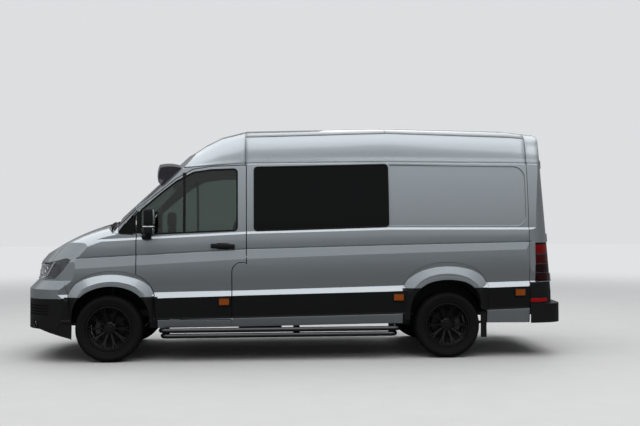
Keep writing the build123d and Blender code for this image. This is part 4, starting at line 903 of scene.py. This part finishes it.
def door_cards():
    """Inner trim of the front doors: a card with armrest, pocket and loudspeaker rings, and the lever."""
    rings = [(-0.002, 0.0), (-0.002, 0.080), (0.006, 0.078), (0.008, 0.072)]
    for radius in (0.066, 0.052, 0.038, 0.024):
        rings += [(0.004, radius), (0.004, radius - 0.006), (0.0065, radius - 0.009), (0.004, radius - 0.012)]
    rings.append((0.004, 0.0))
    for side, hand in hands:
        trim = rounded_boxes(
            ((0.740, 0.878, 0.640), (1.490, 0.925, 1.290), 0.012, 3),
            ((0.820, 0.812, 1.020), (1.260, 0.884, 1.082), 0.022, 3),
            ((0.800, 0.822, 0.665), (1.200, 0.832, 0.815), 0.004, 3),
            ((0.800, 0.822, 0.665), (1.200, 0.884, 0.676), 0.004, 3),
            ((0.800, 0.822, 0.665), (0.811, 0.884, 0.815), 0.004, 3),
            ((1.189, 0.822, 0.665), (1.200, 0.884, 0.815), 0.004, 3))
        turned(trim, rings, (1.350, 0.879, 0.800), (0, -1, 0), 40)
        lever = rounded_boxes(((1.300, 0.858, 1.130), (1.400, 0.882, 1.156), 0.006, 3))
        shape_piece("door_card_" + hand, on_side(trim, side), dash_plastic, "door_" + hand)
        shape_piece("door_lever_" + hand, on_side(lever, side), chrome, "door_" + hand)


def roof_seam():
    """The sealed joint across the high roof, over the rear end of the side windows."""
    roof = skin("roof", "rear_frame", "cab_frame")
    middle, roof_foot = Vector((-0.992, 0.0, 1.95)), 2.136
    path, normals = [], []
    for step in range(81):
        angle = math.radians(14 + 152 * step / 80)
        out = Vector((0.0, math.cos(angle), math.sin(angle)))
        found, normal = land(roof, middle + out * 2.0, -out)
        if found is not None and found.z > roof_foot:
            path.append(found)
            normals.append(normal)
    shape = bmesh.new()
    strip(shape, path, normals, pad_section(0.0070, -0.0040, 0.0012))
    for vert in shape.verts:
        vert.co.z = min(vert.co.z, cad_box[1][2])
    shape_piece("roof_seam_0", shape, rubber, crease=60.0)


def mirrors():
    """Door mirrors: a rounded shell with a lower pod, a light strip, an arm and two glasses."""
    near, far = 1.034, 1.2065
    for side, hand in hands:
        body = "door_" + hand
        shape = rounded_boxes(((1.499, near, 1.442), (1.612, far, 1.634), 0.036, 5),
                              ((1.503, near, 1.3515), (1.606, far - 0.004, 1.436), 0.030, 5))
        for vert in shape.verts:
            share = (vert.co.z - 1.35) / 0.28
            if vert.co.x > 1.556:
                vert.co.x -= 0.016 * max(0.0, share - 0.55) ** 1.2
            vert.co.x -= 0.012 * (vert.co.y - near) / (far - near) * (1 if vert.co.x > 1.536 else 0)
        arm = rounded_boxes(((1.540, 0.958, 1.300), (1.640, 1.064, 1.362), 0.026, 5))
        light = rounded_boxes(((1.4955, near + 0.020, 1.4345), (1.6060, far + 0.0005, 1.4455), 0.004, 3))
        glass = rounded_boxes(((1.4955, near + 0.022, 1.464), (1.5025, far - 0.024, 1.614), 0.0034, 3),
                              ((1.4995, near + 0.022, 1.370), (1.5065, far - 0.028, 1.422), 0.0034, 3))
        shell = shape_piece("mirror_shell_" + hand, on_side(shape, side), plastic, body, crease=45.0)
        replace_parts(shell, "mirror_" + hand)
        shape_piece("mirror_arm_" + hand, on_side(arm, side), plastic, body, crease=45.0)
        shape_piece("mirror_light_" + hand, on_side(light, side), lamp_white, body)
        shape_piece("mirror_glass_" + hand, on_side(glass, side), mirror_face, body)


# Where the windscreen starts, its slope, the way that it faces and the radius of its bend
screen_foot, screen_bend = Vector((2.140, 0.0, 1.402)), 2.960
screen_up, screen_out = Vector((-0.7373, 0, 0.6756)), Vector((0.6756, 0, 0.7373))


def screen_place(across, up, off):
    """A point on the bent windscreen, up its slope from the base and off its surface."""
    drop = screen_bend - math.sqrt(screen_bend ** 2 - across ** 2)
    return screen_foot + Vector((0.0, across, 0.0)) + screen_up * up + screen_out * (off - drop)


def wipers():
    """Two wipers lying along the foot of the windscreen."""
    # Pivot across the screen and up it, tip across it, and how far up the blade lies
    rows = ((0.060, 0.060, 0.690, 0.118), (-0.640, 0.064, -0.020, 0.124))
    for place, (pivot, pivot_up, tip, up) in enumerate(rows):
        blade, arm = bmesh.new(), bmesh.new()
        path = []
        for k in range(15):
            bow = 0.010 * math.sin(math.pi * k / 14)
            path.append(screen_place(tip + (pivot + 0.06 - tip) * k / 14, up + bow, 0.012))
        strip(blade, path, [screen_out] * 15, [(-0.004, -0.013), (0.004, -0.013), (0.010, -0.002),
                                               (0.007, 0.005), (-0.007, 0.005), (-0.010, -0.002)])
        start = screen_place(pivot, pivot_up, 0.006)
        end = screen_place((tip + pivot) / 2, up + 0.008, 0.018)
        middle = start.lerp(end, 0.4) + screen_out * 0.006
        path = [start, start.lerp(middle, 0.5), middle, middle.lerp(end, 0.5), end]
        strip(arm, path, [screen_out] * 5, [(-0.009, -0.004), (0.009, -0.004), (0.008, 0.004),
                                            (-0.008, 0.004)])
        turned(arm, [(-0.045, 0.0), (-0.045, 0.016), (0.004, 0.016), (0.007, 0.012), (0.008, 0.0)], start,
               screen_out, 20)
        shape_piece("wiper_blade_%d" % place, blade, rubber)
        shape_piece("wiper_arm_%d" % place, arm, gloss_black)


def brakes():
    """A caliper and a pressed shield beside every brake disc."""
    inner, outer, caliper_circle = 0.056, 0.2160, 0.151
    shield_off, caliper_off = half_track - 0.0835, half_track - 0.058
    plate = [(0.0, inner), (0.0, outer - 0.012), (0.007, outer), (0.009, outer - 0.001),
             (0.0025, outer - 0.013), (0.0025, inner), (0.0, inner)]
    clamp = [(-0.032, -0.040), (-0.018, -0.040), (-0.018, 0.006), (0.018, 0.006), (0.018, -0.040),
             (0.032, -0.040), (0.032, 0.014), (0.024, 0.022), (-0.024, 0.022), (-0.032, 0.014)]
    for name, (along, side) in wheel_places.items():
        axle, hand = name.split("_")
        body, middle = ("steer_" + hand, 0) if axle == "front" else ("body", 180)
        shield, caliper = bmesh.new(), bmesh.new()
        turned(shield, plate, (along, side * shield_off, tyre_radius), (0, side, 0), 64)
        angles = [math.radians(middle) + math.radians(-26 + 52 * step / 8) for step in range(9)]
        outward = [Vector((math.cos(a), 0, math.sin(a))) for a in angles]
        centre = Vector((along, side * caliper_off, tyre_radius))
        strip(caliper, [centre + out * caliper_circle for out in outward], outward, clamp)
        shape_piece("brake_shield_" + name, shield, chassis, body)
        shape_piece("brake_caliper_" + name, caliper, cast, body)


def box_flanges():
    """Flanges that close the rear wheel boxes to the side panels."""
    off, rise, radius = 0.887, 0.4015, 0.4315
    angles = [math.radians(10 + 4 * k) for k in range(41)]
    outward = [Vector((math.cos(a), 0.0, math.sin(a))) for a in angles]
    for side, hand in hands:
        flange, centre = bmesh.new(), Vector((rear_axle_x, off * side, rise))
        strip(flange, [centre + out * radius for out in outward], outward,
              [(-0.003, -0.002), (0.003, -0.002), (0.003, 0.046), (-0.003, 0.046)])
        shape_piece("wheel_box_flange_" + hand, flange, plastic)


headlamps()
front_trim()
rear_lamps()
marker_lamps()
rear_door_fittings()
door_handles()
door_cards()
roof_seam()
mirrors()
wipers()
brakes()
box_flanges()


# Cab

def plump(name, low, high, radius, bend, cap=0.020):
    """A padded block: rounded, bent, then swollen by cloth under pressure, by no more than a cap."""
    grid, filling_pressure, filling_frames = 0.012, 3.0, 14
    shape = rounded_boxes((low, high, radius))
    for vert in shape.verts:
        vert.co = bend(vert.co)
    bmesh.ops.recalc_face_normals(shape, faces=shape.faces)
    holder = bpy.data.objects.new(name, plain_mesh(name, shape))
    scene.collection.objects.link(holder)
    remesh = holder.modifiers.new("even", "REMESH")
    remesh.mode, remesh.voxel_size = "VOXEL", grid
    graph = bpy.context.evaluated_depsgraph_get()
    even = bpy.data.meshes.new_from_object(holder.evaluated_get(graph), depsgraph=graph)
    bpy.data.objects.remove(holder)
    rest = [vert.co.copy() for vert in even.vertices]
    pad = bpy.data.objects.new(name, even)
    scene.collection.objects.link(pad)
    cloth = pad.modifiers.new("filling", "CLOTH")
    cloth.settings.use_pressure = True
    cloth.settings.uniform_pressure_force = filling_pressure
    cloth.settings.effector_weights.gravity = 0.0
    cloth.settings.tension_stiffness = cloth.settings.compression_stiffness = 40.0
    cloth.settings.quality = 4
    cloth.point_cache.frame_start, cloth.point_cache.frame_end = 1, filling_frames
    for number in range(1, filling_frames + 1):
        scene.frame_set(number)
    graph = bpy.context.evaluated_depsgraph_get()
    swollen = bpy.data.meshes.new_from_object(pad.evaluated_get(graph), depsgraph=graph)
    bpy.data.objects.remove(pad)
    scene.frame_set(1)
    for vert, start in zip(swollen.vertices, rest):
        moved = vert.co - start
        if moved.length > cap:
            vert.co = start + moved.normalized() * cap
    return swollen


def sewn(mesh, lines):
    """Press sewn channels into a padded mesh. Each line gives a distance from itself for a point."""
    depth, width = 0.007, 0.010
    for vert in mesh.vertices:
        for line in lines:
            away = abs(line(vert.co))
            if away < width * 2:
                vert.co -= vert.normal * depth * math.exp(-(away / width) ** 2 * 2.5)


def seat_pads(middle):
    """The cushion, backrest and headrest of a seat."""

    def cushion_bend(p):
        share = (p.x - 0.80) / 0.44
        dip = 0.022 * math.cos(max(-1.0, min(1.0, (p.y - middle) / 0.245)) * math.pi / 2)
        return Vector((p.x, p.y, p.z + (0.020 * share - (dip if p.z > 0.93 else 0.0))))

    def back_bend(p):
        share = (p.z - 0.95) / 0.60
        wing = 0.030 * abs((p.y - middle) / 0.23) ** 2.2 if p.x > 0.70 else 0.0
        x = p.x - 0.135 * share + wing * (1 - 0.4 * share)
        return Vector((x, middle + (p.y - middle) * (1.0 - 0.14 * max(0.0, share) ** 2), p.z))

    def head_bend(p):
        return Vector((p.x - 0.10 * (p.z - 1.6), p.y, p.z))

    base = plump("cushion", (0.790, middle - 0.236, 0.868), (1.232, middle + 0.236, 1.000), 0.040,
                 cushion_bend)
    sewn(base, (lambda p: p.y - middle - 0.140, lambda p: p.y - middle + 0.140, lambda p: p.x - 1.060,
                lambda p: p.x - 0.930))
    back = plump("backrest", (0.655, middle - 0.232, 0.930), (0.772, middle + 0.232, 1.545), 0.045, back_bend)
    sewn(back, (lambda p: p.y - middle - 0.135, lambda p: p.y - middle + 0.135, lambda p: p.z - 1.130,
                lambda p: p.z - 1.300))
    head = plump("headrest", (0.566, middle - 0.122, 1.590), (0.650, middle + 0.122, 1.760), 0.034, head_bend,
                 cap=0.010)
    return (("seat_cushion_", base), ("seat_back_", back), ("seat_headrest_", head))


def seats():
    """Two cab seats: soft pads with sewn channels, headrest posts, a plinth and a belt."""
    for side, hand in hands:
        middle = 0.430 * side
        webbing = [(-0.023, -0.0008), (0.023, -0.0008), (0.023, 0.0008), (-0.023, 0.0008)]
        for name, mesh in seat_pads(middle):
            pad = place_piece(name + hand, mesh, seat_cloth, "body", crease=80.0)
            smooth = pad.modifiers.new("smooth", "SUBSURF")
            smooth.levels = smooth.render_levels = 1
        posts = bmesh.new()
        for offset in (-0.055, 0.055):
            turned(posts, [(-0.10, 0.0), (-0.10, 0.006), (0.07, 0.006), (0.07, 0.0)],
                   (0.603, middle + offset, 1.560), (-0.10, 0, 1.0), 12)
        shape_piece("headrest_posts_" + hand, posts, steel_painted_dark_reflection)
        base = rounded_boxes(
            ((0.770, middle - 0.205, 0.5605), (1.170, middle + 0.205, 0.800), 0.018, 4),
            ((0.745, middle - 0.236, 0.790), (1.225, middle + 0.236, 0.872), 0.022, 4),
            ((0.690, middle - 0.242, 0.815), (0.800, middle - 0.222, 0.990), 0.009, 3),
            ((0.690, middle + 0.222, 0.815), (0.800, middle + 0.242, 0.990), 0.009, 3))
        plinth = shape_piece("seat_plinth_" + hand, base, dash_plastic)
        belt = bmesh.new()
        path = densify([(0.600, side * 0.700, 1.640), (0.625, side * 0.690, 1.300),
                        (0.690, side * 0.685, 0.850), (0.700, side * 0.680, 0.640)], 0.05, False)
        strip(belt, path, [Vector((0.15, -side, 0.0)).normalized()] * len(path), webbing)
        shape_piece("seat_belt_" + hand, belt, belt_web)
        if side > 0:
            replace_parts(plinth, "cab_seats")


def dashboard_details():
    """Binnacle, shelf, glove box lid, displays, vents and the gear lever, on the plain dashboard."""
    binnacle = rounded_boxes(((1.600, 0.245, 1.285), (1.800, 0.615, 1.372), 0.026, 4))
    for vert in binnacle.verts:
        vert.co.z -= 0.22 * max(0.0, vert.co.x - 1.66)
    for row in (((1.528, -0.100, 0.900), (1.640, 0.100, 1.180), 0.022, 4),
                ((1.545, -0.135, 1.262), (1.610, 0.135, 1.300), 0.010, 3),
                ((1.548, -0.735, 1.075), (1.566, -0.215, 1.190), 0.008, 3)):
        rounded_box(binnacle, *row)
    shape_piece("dash_mouldings", binnacle, dash_plastic)
    displays = rounded_boxes(((1.5405, -0.112, 1.118), (1.5620, 0.112, 1.252), 0.004, 3),
                             ((1.5925, 0.265, 1.298), (1.6040, 0.595, 1.352), 0.004, 3))
    shape_piece("dash_displays", displays, gloss_black)
    slats = bmesh.new()
    for middle in (-0.640, -0.190, 0.190, 0.690):
        for number in range(4):
            x, z = 1.556 + 0.0180 * number, 1.226 + 0.0125 * number
            rounded_box(slats, (x, middle - 0.048, z), (x + 0.034, middle + 0.048, z + 0.004), 0.0015, 2)
    shape_piece("dash_vents", slats, dash_plastic)
    lever = bmesh.new()
    turned(lever, [(-0.010, 0.0), (-0.010, 0.026), (0.006, 0.026), (0.014, 0.009), (0.085, 0.007),
                   (0.100, 0.016), (0.122, 0.022), (0.140, 0.018), (0.146, 0.0)],
           (1.522, 0.045, 1.120), (-0.78, 0, 0.62), 24)
    shape_piece("gear_lever", lever, gloss_black)


def steering_wheel():
    """The steering wheel: rim, boss, three spokes, column cover and two stalks."""
    tilt, rim_circle, segments = math.radians(40), 0.184, 72
    axis, across = Vector((-math.cos(tilt), 0, math.sin(tilt))), Vector((0, 1, 0))
    upward = axis.cross(across)
    foot = Vector((1.430, 0.430, 1.180))
    shape = bmesh.new()
    path = [foot + axis * 0.014 + (across * a + upward * b) * rim_circle for a, b in circle(segments)]
    strip(shape, path, [axis] * segments, tube_section(0.0158, 12), True)
    turned(shape, [(0.000, 0.0), (0.000, 0.074), (0.020, 0.086), (0.036, 0.078), (0.043, 0.050),
                   (0.045, 0.0)], foot, axis, 40)
    for angle in (0, 180, 270):
        out = across * math.cos(math.radians(angle)) + upward * math.sin(math.radians(angle))
        path = [foot + axis * 0.016 + out * r for r in (0.060, 0.100, 0.140, 0.178)]
        strip(shape, path, [axis] * 4, [(-0.022, -0.006), (0.022, -0.006), (0.020, 0.008), (-0.020, 0.008)])
    turned(shape, [(-0.300, 0.0), (-0.300, 0.036), (-0.030, 0.036), (-0.004, 0.052), (0.004, 0.052),
                   (0.004, 0.0)], foot, axis, 32)
    for way in (1, -1):
        path = [foot - axis * 0.035 + across * way * r + upward * 0.01 * (r - 0.05)
                for r in (0.03, 0.08, 0.13, 0.165)]
        strip(shape, path, [axis] * 4, tube_section(0.007, 8))
    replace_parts(shape_piece("steering_wheel_rim", shape, dash_plastic), "steering_wheel")


seats()
dashboard_details()
steering_wheel()


# Studio and camera

def studio_floor():
    """A round pale floor that fades into the plain surround. Mirrored rays see it darker."""
    rings, segments, height = (4.0, 8.0, 14.0, 24.0, 40.0, 70.0), 64, -0.0005
    disc = bmesh.new()
    centre = disc.verts.new((0.0, 0.0, height))
    rows = []
    for radius in rings:
        rows.append([disc.verts.new((radius * a, radius * b, height)) for a, b in circle(segments)])
    for k in range(segments):
        after = (k + 1) % segments
        disc.faces.new((centre, rows[0][k], rows[0][after]))
        for near, far in zip(rows, rows[1:]):
            disc.faces.new((near[k], far[k], far[after], near[after]))
    mesh = plain_mesh("studio_floor", disc)
    floor = bpy.data.objects.new("studio_floor", mesh)
    scene.collection.objects.link(floor)
    material, tree, shader = new_material("studio_floor_paint")
    path = add(tree, "ShaderNodeLightPath").outputs
    mirrored = path["Is Glossy Ray"]
    seen = calc(tree, "MAXIMUM", mirrored, path["Is Transmission Ray"])
    seen = calc(tree, "MAXIMUM", path["Is Camera Ray"], seen)
    place = add(tree, "ShaderNodeTexCoord").outputs["Object"]
    away = add(tree, "ShaderNodeVectorMath", {0: place}, operation="LENGTH").outputs["Value"]
    far = add(tree, "ShaderNodeMapRange", {0: away, 1: 4.5, 2: 20.0, 3: 0.0, 4: 1.0},
              interpolation_type="SMOOTHSTEP").outputs[0]
    grain = use_group(tree, grain_group, Scale=90.0, Stretch=1.0)
    tone = blend_colour(tree, grain["Tone"], (0.56, 0.56, 0.56, 1.0), (0.61, 0.61, 0.61, 1.0))
    tone = blend_colour(tree, seen, (0.28, 0.28, 0.28, 1.0), tone)
    tone = blend_colour(tree, mirrored, tone, (0.12, 0.12, 0.12, 1.0))
    tone = blend_colour(tree, far, tone, (0.0, 0.0, 0.0, 1.0))
    glow = blend_colour(tree, mirrored, (0.72, 0.73, 0.745, 1.0), (0.22, 0.23, 0.24, 1.0))
    glow = blend_colour(tree, calc(tree, "MULTIPLY", far, seen), (0.0, 0.0, 0.0, 1.0), glow)
    feed(tree, shader, Base_Color=tone, Roughness=0.7, Specular_IOR_Level=0.1, Emission_Color=glow,
         Emission_Strength=1.0)
    mesh.materials.append(material)


def surround():
    """A plain pale surround. Mirrored rays see it dark near the horizon and bright higher up."""
    world = bpy.data.worlds.new("studio_world")
    scene.world = world
    world.use_nodes = True
    tree = world.node_tree
    tree.nodes.clear()
    path = add(tree, "ShaderNodeLightPath").outputs
    seen = calc(tree, "MAXIMUM", path["Is Camera Ray"], path["Is Transmission Ray"])
    way = add(tree, "ShaderNodeTexCoord").outputs["Generated"]
    way = add(tree, "ShaderNodeSeparateXYZ", {0: way}).outputs
    height = calc(tree, "MULTIPLY_ADD", way[1], 0.22, way[2])
    sky = add(tree, "ShaderNodeMapRange", {0: height, 1: 0.165, 2: 0.350, 3: 0.24, 4: 0.86},
              interpolation_type="SMOOTHSTEP").outputs[0]
    strength = blend_value(tree, seen, blend_value(tree, path["Is Glossy Ray"], 0.24, sky), 0.80)
    back = add(tree, "ShaderNodeBackground", {"Color": (0.90, 0.915, 0.935, 1.0), "Strength": strength})
    tree.links.new(back.outputs[0], add(tree, "ShaderNodeOutputWorld").inputs[0])


def softboxes():
    """A wide soft lamp overhead, and a weak one on the far side."""
    for name, place, aim, size, power in (
            ("top_softbox", (0.0, 2.0, 9.0), (0.0, 2.0, 0.0), (20.0, 18.0), 1950.0),
            ("far_softbox", (-4.5, -9.5, 6.5), (0.0, 0.0, 1.2), (8.0, 3.0), 120.0)):
        lamp = bpy.data.lights.new(name, "AREA")
        lamp.shape, lamp.size, lamp.size_y, lamp.energy = "RECTANGLE", size[0], size[1], power
        holder = bpy.data.objects.new(name, lamp)
        holder.location = place
        holder.rotation_euler = (Vector(aim) - Vector(place)).to_track_quat("-Z", "Y").to_euler()
        scene.collection.objects.link(holder)


def camera():
    """The photograph's place, aim and lens. Its focal length is in pixels of the 640 across it."""
    stand, focal_pixels, sensor = (0.331, 10.127, 1.403), 850.0, 36.0
    yaw, pitch, roll = (math.radians(a) for a in (-3.67, -1.10, -0.27))
    data = bpy.data.cameras.new("photo_camera")
    data.lens, data.sensor_width = focal_pixels / 640.0 * sensor, sensor
    data.clip_start, data.clip_end = 0.1, 100.0
    holder = bpy.data.objects.new("photo_camera", data)
    ahead = Vector((math.sin(yaw) * math.cos(pitch), -math.cos(yaw) * math.cos(pitch), -math.sin(pitch)))
    right = Vector((-math.cos(yaw), -math.sin(yaw), 0.0))
    up = right.cross(ahead)
    across = right * math.cos(roll) + up * math.sin(roll)
    upward = -right * math.sin(roll) + up * math.cos(roll)
    turn = Matrix((across, upward, -ahead)).transposed().to_4x4()
    holder.matrix_world = Matrix.Translation(stand) @ turn
    scene.collection.objects.link(holder)
    scene.camera = holder


studio_floor()
surround()
softboxes()
camera()
scene.view_settings.view_transform = "Standard"
